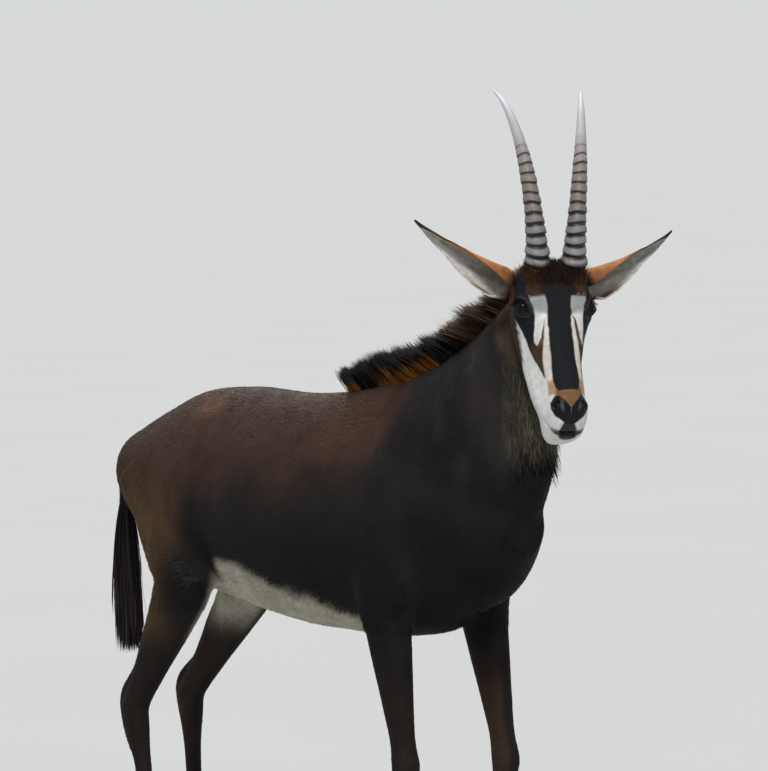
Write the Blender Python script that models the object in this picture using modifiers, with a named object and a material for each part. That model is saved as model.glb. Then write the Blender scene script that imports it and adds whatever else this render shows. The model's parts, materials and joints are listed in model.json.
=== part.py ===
"""A sable antelope, life size, standing with its head turned to its right.

Metres, +X ahead of the animal, +Y to its left, +Z up. Lengths are first set out from
a point on the ground below the withers, and the finished pieces are then moved
together so that the origin lies under the middle of the whole animal.
"""
import math
import random

import bmesh
import bpy
import numpy as np
from mathutils import Matrix, Vector

# Driving dimensions
GAP = 0.0003  # left between pieces that meet
MERGE = 0.00005  # points closer than this are one point
HEAD_YAW = math.radians(-32.0)  # the head looks to the animal's right
HEAD_PITCH = math.radians(63.0)  # line of the nose below the level
HORN_ROOT = Vector((0.604, -0.054, 1.590))  # on the forehead, between the horns
BODY_TRIANGLES = 2800
HEAD_TRIANGLES = 1650

# Horns
HORN_LENGTH = 0.525
HORN_PLACE = (-0.006, 0.042, -0.010)  # along the face, to the side, out from the face
HORN_SHIFT = 0.004  # both roots stand this much to the left of the middle
HORN_YAW = math.radians(-37.3)  # they sweep back in this upright plane
HORN_SPREAD = 0.062  # how far each tip stands out past its root
HORN_LEAN = math.radians(-10.0)  # from upright at the root, ahead being negative
HORN_SWEEP = math.radians(88.0)  # turned back from root to tip
HORN_WIDTHS = ((0.0, 0.060), (0.05, 0.049), (0.13, 0.0395), (0.22, 0.034), (0.30, 0.0265), (0.40, 0.0175),
               (0.525, 0.004))  # place along it, width
HORN_DEPTH = 1.22  # its section is deeper fore and aft than wide
HORN_RINGS = 13
HORN_RINGED = 0.300  # length that carries rings
HORN_RING_RISE = 0.10  # of the horn's width
HORN_SIDES = 9

# Eyes and ears
EYE_RADIUS = 0.0205
EYE_PLACE = (0.086, 0.0725, -0.038)  # along the face, to the side, out from the face
EYE_GAZE = (0.05, 0.74, 0.65)
EYE_OPENING = (0.0200, 0.0135)  # half length and half height between the lids
LID_THICKNESS = 0.0035
EAR_ROOT = (0.010, 0.076, -0.085)
EAR_LENGTH = 0.272
EAR_PROFILE = ((0.0, 0.028), (0.12, 0.038), (0.30, 0.0335), (0.50, 0.0275), (0.68, 0.0165), (0.84, 0.0095),
               (0.94, 0.0040), (1.0, 0.0020))  # part of its length, half width
EAR_THICKNESS = 0.0042
EAR_REACH = {"left": (-0.1086, 0.205, -0.0103), "right": (-0.163, 0.205, -0.0275)}  # from root to tip

# Trunk sections: place along the back, top, underside, half width, how narrow the top is
TRUNK = (
    (-0.870, 1.092, 1.025, 0.042, 0.0),
    (-0.850, 1.125, 0.970, 0.084, 0.0),
    (-0.795, 1.158, 0.905, 0.122, 0.1),
    (-0.700, 1.206, 0.830, 0.158, 0.2),
    (-0.580, 1.253, 0.772, 0.189, 0.3),
    (-0.420, 1.268, 0.738, 0.212, 0.3),
    (-0.250, 1.262, 0.708, 0.232, 0.3),
    (-0.080, 1.276, 0.700, 0.230, 0.4),
    (0.060, 1.302, 0.697, 0.205, 0.5),
    (0.190, 1.280, 0.712, 0.184, 0.45),
    (0.310, 1.210, 0.768, 0.154, 0.25),
    (0.412, 1.120, 0.836, 0.114, 0.0),
    (0.468, 1.045, 0.920, 0.065, 0.0),
)

# Neck sections: crest x, y, z, underside x, y, z, half width, turn to the side
NECK = (
    (-0.060, 0.0, 1.245, 0.260, 0.0, 0.880, 0.150, 0.00),
    (0.100, 0.0, 1.312, 0.466, 0.0, 0.975, 0.138, 0.00),
    (0.200, 0.0, 1.354, 0.520, 0.0, 1.110, 0.124, -0.05),
    (0.285, -0.002, 1.400, 0.528, -0.006, 1.220, 0.106, -0.12),
    (0.365, -0.004, 1.456, 0.522, -0.010, 1.305, 0.091, -0.22),
    (0.440, -0.004, 1.512, 0.518, -0.008, 1.372, 0.080, -0.36),
    (0.492, -0.004, 1.554, 0.545, -0.010, 1.405, 0.070, -0.50),
    (0.530, -0.018, 1.566, 0.580, -0.035, 1.430, 0.055, -0.61),
)

# Head sections: along the face from the horns, top, underside, half width,
# how much wider the upper half is, and how round the sides are
HEAD = (
    (-0.064, -0.150, -0.192, 0.028, 0.00, 0.95),
    (-0.054, -0.112, -0.208, 0.058, 0.05, 0.92),
    (-0.034, -0.062, -0.218, 0.075, 0.15, 0.85),
    (-0.004, -0.014, -0.222, 0.084, 0.24, 0.80),
    (0.036, 0.005, -0.220, 0.087, 0.30, 0.80),
    (0.076, 0.002, -0.214, 0.088, 0.32, 0.78),
    (0.120, -0.004, -0.202, 0.080, 0.18, 0.80),
    (0.175, -0.006, -0.182, 0.069, -0.05, 0.80),
    (0.230, -0.006, -0.162, 0.061, -0.18, 0.80),
    (0.280, -0.003, -0.144, 0.055, -0.20, 0.78),
    (0.314, -0.001, -0.133, 0.050, -0.12, 0.75),
    (0.340, -0.004, -0.130, 0.048, -0.02, 0.75),
    (0.362, -0.018, -0.130, 0.045, 0.00, 0.78),
    (0.380, -0.040, -0.127, 0.038, 0.00, 0.82),
    (0.391, -0.066, -0.118, 0.024, 0.00, 0.90),
)
# Swellings and hollows of the face: along, to the side, out, how far it rises, how wide
FACE_RELIEF = (
    (0.002, 0.042, -0.004, 0.0140, 0.030),  # swelling round the root of the horn
    (0.074, 0.077, -0.012, 0.0060, 0.022),  # brow over the eye
    (0.040, 0.080, -0.070, -0.0060, 0.026),  # temple
    (0.130, 0.070, -0.130, 0.0060, 0.050),  # cheek muscle
    (0.150, 0.070, -0.060, -0.0050, 0.030),  # below the eye
    (0.220, 0.050, -0.080, -0.0060, 0.040),  # between cheek and lips
    (0.336, 0.042, -0.022, 0.0060, 0.018),  # wing of the nostril
    (0.335, 0.048, -0.066, 0.0040, 0.025),  # upper lip
    (0.365, 0.020, -0.112, 0.0040, 0.022),  # chin
)
JAW_SHIFT = 0.013  # the lower jaw's front is drawn to the animal's right, as in chewing
MOUTH_FRONT = (0.400, -0.0660)  # along the face, out from it
MOUTH_CORNER = (0.292, -0.0880)
MOUTH_GAPE = 0.0260
NOSTRIL_PLACE = (0.334, 0.0350, -0.0080)
NOSTRIL_SIZE = (0.0125, 0.0062, 0.0090)
NOSE_PLACE = (0.352, -0.0180)  # middle of the bare nose
NOSE_SLOPE = math.radians(36.0)  # its face against the line of the forehead
# Half outline of the bare nose: to the side, towards the lip
NOSE_OUTLINE = ((0.0, -0.013), (0.012, -0.027), (0.024, -0.036), (0.037, -0.034), (0.0450, -0.020),
                (0.0430, -0.004), (0.033, 0.010), (0.021, 0.018), (0.011, 0.025), (0.0, 0.027))
NOSE_DEPTH = 0.012

# Legs: the joints from the top down, as places along the body, to the side and up
FORE_JOINTS = {
    "right": ((0.150, -0.120, 1.060), (0.142, -0.134, 0.770), (0.203, -0.130, 0.410),
              (0.193, -0.128, 0.118), (0.221, -0.128, 0.030)),
    "left": ((0.170, 0.120, 1.060), (0.195, 0.134, 0.770), (0.276, 0.130, 0.412),
             (0.262, 0.128, 0.118), (0.290, 0.128, 0.030)),
}
HIND_JOINTS = {
    "right": ((-0.665, -0.105, 1.050), (-0.530, -0.145, 0.800), (-0.725, -0.135, 0.472),
              (-0.658, -0.130, 0.120), (-0.628, -0.130, 0.030)),
    "left": ((-0.675, 0.105, 1.050), (-0.580, 0.145, 0.800), (-0.815, 0.135, 0.475),
             (-0.790, 0.130, 0.120), (-0.760, 0.130, 0.030)),
}
# Leg sections: joint number with the part of the way to the next, half depth, half width
FORE_SHAPE = (
    (0.00, 0.120, 0.045), (0.50, 0.118, 0.062), (0.85, 0.092, 0.058), (1.05, 0.072, 0.050),
    (1.30, 0.056, 0.044), (1.60, 0.042, 0.036), (1.86, 0.034, 0.031), (2.00, 0.036, 0.036),
    (2.12, 0.031, 0.032), (2.26, 0.0235, 0.0235), (2.60, 0.0205, 0.0200), (2.84, 0.0230, 0.0220),
    (3.00, 0.0290, 0.0280), (3.35, 0.0245, 0.0270), (3.70, 0.0280, 0.0310), (4.00, 0.0330, 0.0340),
)
HIND_SHAPE = (
    (0.00, 0.125, 0.040), (0.45, 0.116, 0.060), (0.80, 0.101, 0.064), (1.05, 0.086, 0.060),
    (1.35, 0.067, 0.050), (1.70, 0.047, 0.036), (1.92, 0.038, 0.032), (2.00, 0.038, 0.033),
    (2.12, 0.035, 0.030), (2.30, 0.0270, 0.0245), (2.60, 0.0235, 0.0210), (2.86, 0.0250, 0.0230),
    (3.00, 0.0300, 0.0285), (3.35, 0.0250, 0.0270), (3.70, 0.0285, 0.0310), (4.00, 0.0330, 0.0340),
)
HEEL_REACH = 0.034  # point of the hock behind the joint
HEEL_RADIUS = 0.0165

# Hooves
HOOF_LENGTH = 0.092
HOOF_WIDTH = 0.038
HOOF_TOE_HEIGHT = 0.058
HOOF_HEEL_HEIGHT = 0.034
HOOF_SPLAY = math.radians(5.0)
HOOF_CLEFT = 0.0035  # between the two hooves of a foot
HOOF_SIDES = 10
DEWCLAW_RADII = (0.010, 0.009, 0.015)

# Tail
TAIL_LINE = ((-0.832, 0.0, 1.115), (-0.876, 0.0, 1.080), (-0.900, 0.0, 1.010), (-0.902, 0.0, 0.900),
             (-0.890, 0.0, 0.780))
TAIL_RADII = (0.030, 0.024, 0.019, 0.017, 0.012)
TAIL_END = 0.575  # height of the last hair
TAIL_SPLIT = 0.955  # height where the long hair starts
TUFT_LOCKS = 14

# Mane and throat
MANE_LOCKS = 48
MANE_HEIGHT = 0.100
MANE_START = -0.105
MANE_CORE = 0.046
THROAT_LOCKS = 20

parts = bpy.data.collections.new("sable_antelope")
cutters = bpy.data.collections.new("cutters")


def clear_scene():
    for obj in list(bpy.data.objects):
        bpy.data.objects.remove(obj)
    bpy.context.scene.collection.children.link(parts)
    bpy.context.scene.collection.children.link(cutters)


def material(name, colour, roughness):
    found = bpy.data.materials.get(name)
    if found:
        return found
    made = bpy.data.materials.new(name)
    made.use_nodes = True
    shader = made.node_tree.nodes["Principled BSDF"]
    shader.inputs["Base Color"].default_value = (*colour, 1.0)
    shader.inputs["Roughness"].default_value = roughness
    return made


def mesh_object(name, points, faces):
    """An object of its own from points and faces, turned to face outwards."""
    mesh = bpy.data.meshes.new(name)
    mesh.from_pydata([tuple(p) for p in points], [], faces)
    shape = bmesh.new()
    shape.from_mesh(mesh)
    bmesh.ops.recalc_face_normals(shape, faces=shape.faces)
    shape.to_mesh(mesh)
    shape.free()
    obj = bpy.data.objects.new(name, mesh)
    cutters.objects.link(obj)
    return obj


def apply_modifiers(obj):
    """The object's shape as its modifiers leave it, kept as plain mesh."""
    bpy.context.view_layer.update()
    graph = bpy.context.evaluated_depsgraph_get()
    baked = bpy.data.meshes.new_from_object(obj.evaluated_get(graph))
    obj.modifiers.clear()
    obj.data = baked
    return obj


def mended(obj):
    """Points that fall together after a cut made one, and slivers without area dropped."""
    shape = bmesh.new()
    shape.from_mesh(obj.data)
    bmesh.ops.remove_doubles(shape, verts=shape.verts, dist=MERGE)
    bmesh.ops.dissolve_degenerate(shape, edges=shape.edges, dist=MERGE / 5)
    bmesh.ops.triangulate(shape, faces=shape.faces)
    shape.to_mesh(obj.data)
    shape.free()
    return obj


def combine(obj, others, operation):
    """One Boolean of the object with all of the others, which are then removed.

    A cut that leaves nothing is made once more with the other solver.
    """
    whole = obj.data.copy()
    group = bpy.data.collections.new("operands")
    bpy.context.scene.collection.children.link(group)
    for other in others:
        group.objects.link(other)
    cut = obj.modifiers.new("combine", "BOOLEAN")
    cut.operation = operation
    cut.operand_type = "COLLECTION"
    cut.collection = group
    cut.solver = "EXACT"
    apply_modifiers(obj)
    if not obj.data.polygons:
        obj.data = whole
        cut = obj.modifiers.new("combine", "BOOLEAN")
        cut.operation = operation
        cut.operand_type = "COLLECTION"
        cut.collection = group
        cut.solver = "MANIFOLD"
        apply_modifiers(obj)
    for other in others:
        bpy.data.objects.remove(other)
    bpy.data.collections.remove(group)
    return mended(obj)


def copy_of(obj, name):
    copy = bpy.data.objects.new(name, obj.data.copy())
    cutters.objects.link(copy)
    return copy


def grown(obj, amount):
    """A copy whose surface stands out by the amount, to cut neighbours clear of it."""
    copy = copy_of(obj, obj.name + "_grown")
    swell = copy.modifiers.new("swell", "DISPLACE")
    swell.strength = amount
    swell.mid_level = 0.0
    return apply_modifiers(copy)


def loose_pieces(obj):
    """The separate closed surfaces of the object, each as lists of points and faces."""
    shape = bmesh.new()
    shape.from_mesh(obj.data)
    shape.verts.ensure_lookup_table()
    seen = set()
    found = []
    for start in shape.verts:
        if start in seen:
            continue
        seen.add(start)
        stack = [start]
        group = []
        while stack:
            vert = stack.pop()
            group.append(vert)
            for edge in vert.link_edges:
                other = edge.other_vert(vert)
                if other not in seen:
                    seen.add(other)
                    stack.append(other)
        number = {vert: i for i, vert in enumerate(group)}
        faces = {face for vert in group for face in vert.link_faces}
        ordered = sorted(faces, key=lambda face: face.index)
        found.append(([vert.co.copy() for vert in group], [[number[v] for v in f.verts] for f in ordered]))
    shape.free()
    return found


def keep_largest(obj):
    pieces = loose_pieces(obj)
    points, faces = max(pieces, key=lambda piece: len(piece[1]))
    if len(pieces) > 1:
        mesh = bpy.data.meshes.new(obj.name)
        mesh.from_pydata(points, [], faces)
        obj.data = mesh
    return obj


def smooth_rows(rows, count):
    """Rows of numbers read at even steps from one smooth curve through the given rows."""
    rows = np.array(rows, float)
    gaps = np.linalg.norm(np.diff(rows, axis=0), axis=1)
    at = np.concatenate([[0.0], np.cumsum(gaps)])
    slopes = np.gradient(rows, at, axis=0)
    where = np.linspace(0.0, at[-1], count)
    i = np.clip(np.searchsorted(at, where) - 1, 0, len(rows) - 2)
    span = (at[i + 1] - at[i])[:, None]
    t = (where - at[i])[:, None] / span
    start = (2 * t**3 - 3 * t**2 + 1) * rows[i] + (t**3 - 2 * t**2 + t) * span * slopes[i]
    end = (3 * t**2 - 2 * t**3) * rows[i + 1] + (t**3 - t**2) * span * slopes[i + 1]
    return start + end


def ring_loft(name, rings):
    """A closed skin over rings that all have the same number of points."""
    around = len(rings[0])
    points = [p for ring in rings for p in ring]
    faces = []
    for r in range(len(rings) - 1):
        for i in range(around):
            j = (i + 1) % around
            faces.append((r * around + i, r * around + j, (r + 1) * around + j, (r + 1) * around + i))
    faces.append(tuple(range(around)))
    faces.append(tuple((len(rings) - 1) * around + i for i in range(around)))
    return mesh_object(name, points, faces)


def section_ring(top, bottom, half_width, turn, around, narrow=0.0):
    """A ring from its top and bottom points, with its sides level across the turned body."""
    top = Vector(top)
    bottom = Vector(bottom)
    middle = (top + bottom) / 2
    half = (top - bottom) / 2
    side = Vector((-math.sin(turn), math.cos(turn), 0.0)) * half_width
    ring = []
    for i in range(around):
        angle = 2 * math.pi * i / around
        high = math.cos(angle)
        wide = math.sin(angle) * (1 - narrow * max(0.0, high) ** 1.5)
        ring.append(middle + half * high + side * wide)
    return ring


def trunk_shape():
    rings = []
    for x, top, bottom, half_width, narrow in smooth_rows(TRUNK, 44):
        rings.append(section_ring((x, 0, top), (x, 0, bottom), half_width, 0.0, 40, narrow))
    return ring_loft("trunk", rings)


def neck_shape():
    rings = []
    for row in smooth_rows(NECK, 30):
        rings.append(section_ring(row[0:3], row[3:6], row[6], row[7], 36, 0.25))
    return ring_loft("neck", rings)


def along_joints(joints, place):
    """The point at a joint number with the part of the way to the next."""
    first = min(int(place), len(joints) - 2)
    return Vector(joints[first]).lerp(Vector(joints[first + 1]), place - first)


def limb_shape(name, joints, shape, steps):
    rings = []
    for place, half_depth, half_width in smooth_rows(shape, steps):
        middle = along_joints(joints, place)
        ahead = along_joints(joints, min(place + 0.2, len(joints) - 1))
        behind = along_joints(joints, max(place - 0.2, 0.0))
        down = (ahead - behind).normalized()
        front = Vector((0, 1, 0)).cross(down).normalized() * -half_depth
        rings.append(section_ring(middle + front, middle - front, half_width, 0.0, 20))
    return ring_loft(name, rings)


def tube_shape(name, line, radii, steps, around, flat=1.0):
    """A round or flattened tube along a smooth line, its radius following too."""
    rows = smooth_rows([(*p, r) for p, r in zip(line, radii)], steps)
    rings = []
    for k, row in enumerate(rows):
        before = Vector(rows[max(k - 1, 0)][:3])
        after = Vector(rows[min(k + 1, steps - 1)][:3])
        along = (after - before).normalized()
        side = Vector((0, 1, 0))
        front = side.cross(along).normalized()
        middle = Vector(row[:3])
        ring = []
        for i in range(around):
            angle = 2 * math.pi * i / around
            ring.append(middle + side * math.sin(angle) * row[3] + front * math.cos(angle) * row[3] * flat)
        rings.append(ring)
    return ring_loft(name, rings)


def heel_shape(side):
    """The cord behind the gaskin down to the point of the hock."""
    joints = HIND_JOINTS[side]
    hock = Vector(joints[2])
    back = Vector((-HEEL_REACH, 0, 0.022))
    top = along_joints(joints, 1.35) + Vector((-0.030, 0, 0))
    middle = along_joints(joints, 1.7) + Vector((-0.043, 0, 0))
    line = [top, middle, hock + back, hock + Vector((-0.022, 0, -0.045)), hock + Vector((-0.004, 0, -0.11))]
    return tube_shape("heel_" + side, line, (0.016, 0.013, HEEL_RADIUS, 0.018, 0.012), 14, 12)


def ham_shape(side):
    """The muscle behind the thigh, from the buttock down into the gaskin."""
    joints = HIND_JOINTS[side]
    hip = Vector(joints[0])
    stifle = Vector(joints[1])
    inward = -math.copysign(0.022, hip.y)
    lower = along_joints(joints, 1.50) + Vector((-0.032, inward * 0.3, 0.0))
    end = along_joints(joints, 1.75) + Vector((-0.028, 0.0, 0.0))
    line = [hip + Vector((-0.080, 0.0, 0.0)), stifle + Vector((-0.118, inward, 0.100)),
            stifle + Vector((-0.072, inward, -0.010)), lower, end]
    return tube_shape("ham_" + side, line, (0.046, 0.038, 0.030, 0.023, 0.015), 18, 14, 1.4)


def joined(name, objects):
    """The objects' shells in one mesh, still overlapping."""
    shape = bmesh.new()
    for obj in objects:
        shape.from_mesh(obj.data)
        bpy.data.objects.remove(obj)
    mesh = bpy.data.meshes.new(name)
    shape.to_mesh(mesh)
    shape.free()
    obj = bpy.data.objects.new(name, mesh)
    cutters.objects.link(obj)
    return obj


def fused(obj, grain, smoothing, triangles):
    """Overlapping shells made one skin, smoothed, and thinned to a number of triangles."""
    remesh = obj.modifiers.new("fuse", "REMESH")
    remesh.mode = "VOXEL"
    remesh.voxel_size = grain
    relax = obj.modifiers.new("relax", "SMOOTH")
    relax.factor = 0.5
    relax.iterations = smoothing
    apply_modifiers(obj)
    keep_largest(obj)
    obj.data.calc_loop_triangles()
    thin = obj.modifiers.new("thin", "DECIMATE")
    thin.ratio = triangles / len(obj.data.loop_triangles)
    return apply_modifiers(obj)


def head_axes():
    """Along the face to the nose, to the animal's left, and out from the face."""
    along = Vector((math.cos(HEAD_PITCH) * math.cos(HEAD_YAW), math.cos(HEAD_PITCH) * math.sin(HEAD_YAW),
                    -math.sin(HEAD_PITCH)))
    out = Vector((math.sin(HEAD_PITCH) * math.cos(HEAD_YAW), math.sin(HEAD_PITCH) * math.sin(HEAD_YAW),
                  math.cos(HEAD_PITCH)))
    return along, out.cross(along), out


HEAD_ALONG, HEAD_SIDE, HEAD_OUT = head_axes()


def head_vector(along, side, out):
    return HEAD_ALONG * along + HEAD_SIDE * side + HEAD_OUT * out


def head_point(along, side, out):
    return HORN_ROOT + head_vector(along, side, out)


def relief(along, side, out):
    """How far the face stands out or in at a place."""
    total = 0.0
    for centre_along, centre_side, centre_out, rise, spread in FACE_RELIEF:
        away = (along - centre_along) ** 2 + (abs(side) - centre_side) ** 2 + (out - centre_out) ** 2
        total += rise * math.exp(-away / spread**2)
    return total


def head_shape(steps, around):
    rings = []
    for along, top, bottom, half_width, skew, power in smooth_rows(HEAD, steps):
        ring = []
        drawn = JAW_SHIFT * min(1.0, max(0.0, along / 0.25))
        for i in range(around):
            angle = 2 * math.pi * i / around
            high = math.cos(angle)
            wide = math.copysign(abs(math.sin(angle)) ** power, math.sin(angle))
            out = (top + bottom) / 2 + (top - bottom) / 2 * high
            side = half_width * wide * (1 + skew * high)
            push = relief(along, side, out)
            reach = math.hypot(side, out - (top + bottom) / 2) or 1.0
            side += push * side / reach
            out += push * (out - (top + bottom) / 2) / reach
            side -= drawn * min(1.0, max(0.0, -high + 0.15))
            ring.append(head_point(along, side, out))
        rings.append(ring)
    return ring_loft("head", rings)


def ellipsoid(name, middle, radii, axes, segments=20, rings=12):
    shape = bmesh.new()
    bmesh.ops.create_uvsphere(shape, u_segments=segments, v_segments=rings, radius=1.0)
    mesh = bpy.data.meshes.new(name)
    shape.to_mesh(mesh)
    shape.free()
    frame = Matrix([axes[0] * radii[0], axes[1] * radii[1], axes[2] * radii[2]]).transposed().to_4x4()
    mesh.transform(Matrix.Translation(middle) @ frame)
    if frame.determinant() < 0:
        mesh.flip_normals()
    obj = bpy.data.objects.new(name, mesh)
    cutters.objects.link(obj)
    return obj


def box(name, middle, axes, sizes):
    shape = bmesh.new()
    bmesh.ops.create_cube(shape, size=1.0)
    mesh = bpy.data.meshes.new(name)
    shape.to_mesh(mesh)
    shape.free()
    frame = Matrix([axes[0] * sizes[0], axes[1] * sizes[1], axes[2] * sizes[2]]).transposed().to_4x4()
    mesh.transform(Matrix.Translation(middle) @ frame)
    if frame.determinant() < 0:
        mesh.flip_normals()
    obj = bpy.data.objects.new(name, mesh)
    cutters.objects.link(obj)
    return obj


def square_axes(first, second):
    """Three square directions, the first kept and the second made square to it."""
    first = Vector(first).normalized()
    second = Vector(second)
    second = (second - first * second.dot(first)).normalized()
    return first, second, first.cross(second)


def eye_frame(sign):
    """The eye's middle, with the directions it looks, along its corners and across them."""
    middle = head_point(EYE_PLACE[0], EYE_PLACE[1] * sign, EYE_PLACE[2])
    gaze = head_vector(EYE_GAZE[0], EYE_GAZE[1] * sign, EYE_GAZE[2])
    corner = head_vector(0.62, 0.0, 0.70)
    return middle, square_axes(gaze, corner)


def eyelid_opening(sign):
    """A lens-shaped rod along the gaze: two arcs that meet at the corners of the eye."""
    middle, (gaze, corner, across) = eye_frame(sign)
    half_length, half_height = EYE_OPENING
    rim = []
    for i in range(14):
        angle = 2 * math.pi * i / 14
        high = math.sin(angle) * (1 - 0.25 * abs(math.cos(angle)))
        rim.append(corner * half_length * math.cos(angle) + across * half_height * high)
    rings = [[middle + gaze * depth + p * scale for p in rim] for depth, scale in ((0.002, 0.8), (0.045, 1.25))]
    return ring_loft("eyelid_opening", rings)


def mouth_cutter():
    """A thin wedge between the lips, closed to nothing much at the corner of the mouth."""
    rings = []
    for side in (-0.09, 0.09):
        front = head_point(MOUTH_FRONT[0] + 0.01, side, MOUTH_FRONT[1])
        corner = head_point(MOUTH_CORNER[0], side, MOUTH_CORNER[1])
        lift = head_vector(0, 0, 1)
        rings.append([front + lift * MOUTH_GAPE / 2, front - lift * MOUTH_GAPE / 2,
                      corner - lift * 0.0006, corner + lift * 0.0006])
    return ring_loft("mouth", rings)


def nose_block(shrink):
    """A heart-shaped block through the muzzle's end, whose part inside the head is the bare nose."""
    down = head_vector(math.cos(NOSE_SLOPE), 0, -math.sin(NOSE_SLOPE))
    front = head_vector(math.sin(NOSE_SLOPE), 0, math.cos(NOSE_SLOPE))
    middle = head_point(NOSE_PLACE[0], 0, NOSE_PLACE[1])
    half = [(side, drop) for side, drop in NOSE_OUTLINE]
    outline = half + [(-side, drop) for side, drop in reversed(half[1:-1])]
    rings = []
    for depth, scale in ((-NOSE_DEPTH + shrink, 0.86), (0.004, 1.0), (0.03, 1.15)):
        ring = []
        for side, drop in outline:
            inset = 1 - shrink / max(0.01, math.hypot(side, drop))
            ring.append(middle + front * depth + (HEAD_SIDE * side + down * drop) * scale * inset)
        rings.append(ring)
    return ring_loft("nose_block", rings)


def head_pieces():
    """The head with its sockets, lids, mouth and nostrils, the nose pad and both eyes."""
    head = fused(head_shape(70, 64), 0.0045, 3, HEAD_TRIANGLES)
    lids = []
    for sign in (1, -1):
        middle, frame = eye_frame(sign)
        lids.append(ellipsoid("lid", middle, [EYE_RADIUS + LID_THICKNESS] * 3, frame, 16, 10))
    combine(head, lids, "UNION")
    hollows = [mouth_cutter()]
    for sign in (1, -1):
        middle, frame = eye_frame(sign)
        hollows.append(ellipsoid("socket", middle, [EYE_RADIUS + GAP] * 3, frame, 14, 8))
        hollows.append(eyelid_opening(sign))
        place = head_point(NOSTRIL_PLACE[0], NOSTRIL_PLACE[1] * sign, NOSTRIL_PLACE[2])
        tail_of_comma = head_vector(0.85, -0.35 * sign, -0.45)
        inward, down, across = square_axes(head_vector(-0.30, -0.45 * sign, -0.85), tail_of_comma)
        hollows.append(ellipsoid("nostril", place, NOSTRIL_SIZE, (down, across, inward), 10, 6))
    combine(head, hollows, "DIFFERENCE")
    keep_largest(head)
    nose = copy_of(head, "nose")
    combine(nose, [nose_block(GAP)], "INTERSECT")
    keep_largest(nose)
    combine(head, [nose_block(0.0)], "DIFFERENCE")
    keep_largest(head)
    eyes = []
    for sign, side in ((1, "left"), (-1, "right")):
        middle, frame = eye_frame(sign)
        eyes.append(ellipsoid("eye_" + side, middle, [EYE_RADIUS] * 3, frame, 14, 8))
    return head, nose, eyes


def horn_shape(side, sign):
    """A ringed horn that rises from the forehead and sweeps back in one bend."""
    ahead = Vector((math.cos(HORN_YAW), math.sin(HORN_YAW), 0.0))
    up = Vector((0, 0, 1))
    stations = [(-0.022, 0.0)]
    pitch = HORN_RINGED / HORN_RINGS
    for k in range(HORN_RINGS):
        start = 0.004 + k * pitch
        fade = 1 - 0.55 * k / HORN_RINGS
        stations += [(start, -0.4 * fade), (start + pitch * 0.45, fade)]
    stations += [(HORN_RINGED + 0.004 + k * (HORN_LENGTH - HORN_RINGED - 0.004) / 6, 0.0) for k in range(7)]
    widths = np.array(HORN_WIDTHS)
    rings = []
    fine = np.linspace(0, HORN_LENGTH, 200)
    angles = HORN_LEAN + HORN_SWEEP * fine / HORN_LENGTH
    step = fine[1]
    heights = np.concatenate([[0], np.cumsum(np.cos(angles[:-1]) * step)])
    backs = np.concatenate([[0], np.cumsum(np.sin(angles[:-1]) * step)])
    root = head_point(HORN_PLACE[0], sign * HORN_PLACE[1] + HORN_SHIFT, HORN_PLACE[2])
    for at, rise in stations:
        height = float(np.interp(at, fine, heights)) if at > 0 else at
        back = float(np.interp(at, fine, backs))
        lean = float(np.interp(at, fine, angles))
        spread = HORN_SPREAD * (max(at, 0.0) / HORN_LENGTH) ** 1.3
        middle = root + up * height - ahead * back + HEAD_SIDE * sign * spread
        half = float(np.interp(at, widths[:, 0], widths[:, 1])) / 2
        front = (ahead * math.cos(lean) + up * math.sin(lean)).normalized()
        ring = []
        for i in range(HORN_SIDES):
            angle = 2 * math.pi * i / HORN_SIDES
            ridge = 1 + HORN_RING_RISE * rise * (0.75 + 0.45 * math.cos(angle))
            ring.append(middle + front * math.cos(angle) * half * HORN_DEPTH * ridge
                        + HEAD_SIDE * math.sin(angle) * half * ridge)
        rings.append(ring)
    return ring_loft("horn_" + side, rings)


def ear_shape(side, sign):
    """A long pointed cup: a curled sheet, wide in the middle, given its thickness."""
    ahead = Vector((math.cos(HEAD_YAW), math.sin(HEAD_YAW), 0.0))
    root = head_point(EAR_ROOT[0], EAR_ROOT[1] * sign, EAR_ROOT[2])
    reach = head_vector(EAR_REACH[side][0], EAR_REACH[side][1] * sign, EAR_REACH[side][2])
    face = ahead * 0.85 + HEAD_SIDE * sign * 0.30 - Vector((0, 0, 0.42))
    along, opening, across = square_axes(reach, face)
    columns = 7
    rows = 12
    points = []
    profile = np.array(EAR_PROFILE)
    for r in range(rows):
        u = r / (rows - 1)
        half = float(np.interp(u, profile[:, 0], profile[:, 1]))
        curl = math.radians(150 - 95 * min(1.0, u * 1.6))
        radius = half / math.sin(min(curl, math.pi / 2))
        bow = along * EAR_LENGTH * u + opening * 0.022 * math.sin(math.pi * u) + Vector((0, 0, 0.012)) * u**3
        for c in range(columns):
            angle = curl * (2 * c / (columns - 1) - 1)
            side_step = across * radius * math.sin(angle)
            points.append(root + bow + side_step - opening * radius * (math.cos(angle) - 0.4))
    faces = []
    for r in range(rows - 1):
        for c in range(columns - 1):
            i = r * columns + c
            faces.append((i, i + 1, i + columns + 1, i + columns))
    ear = mesh_object("ear_" + side, points, faces)
    wall = ear.modifiers.new("wall", "SOLIDIFY")
    wall.thickness = EAR_THICKNESS
    wall.offset = 0.0
    return apply_modifiers(ear)


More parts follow.
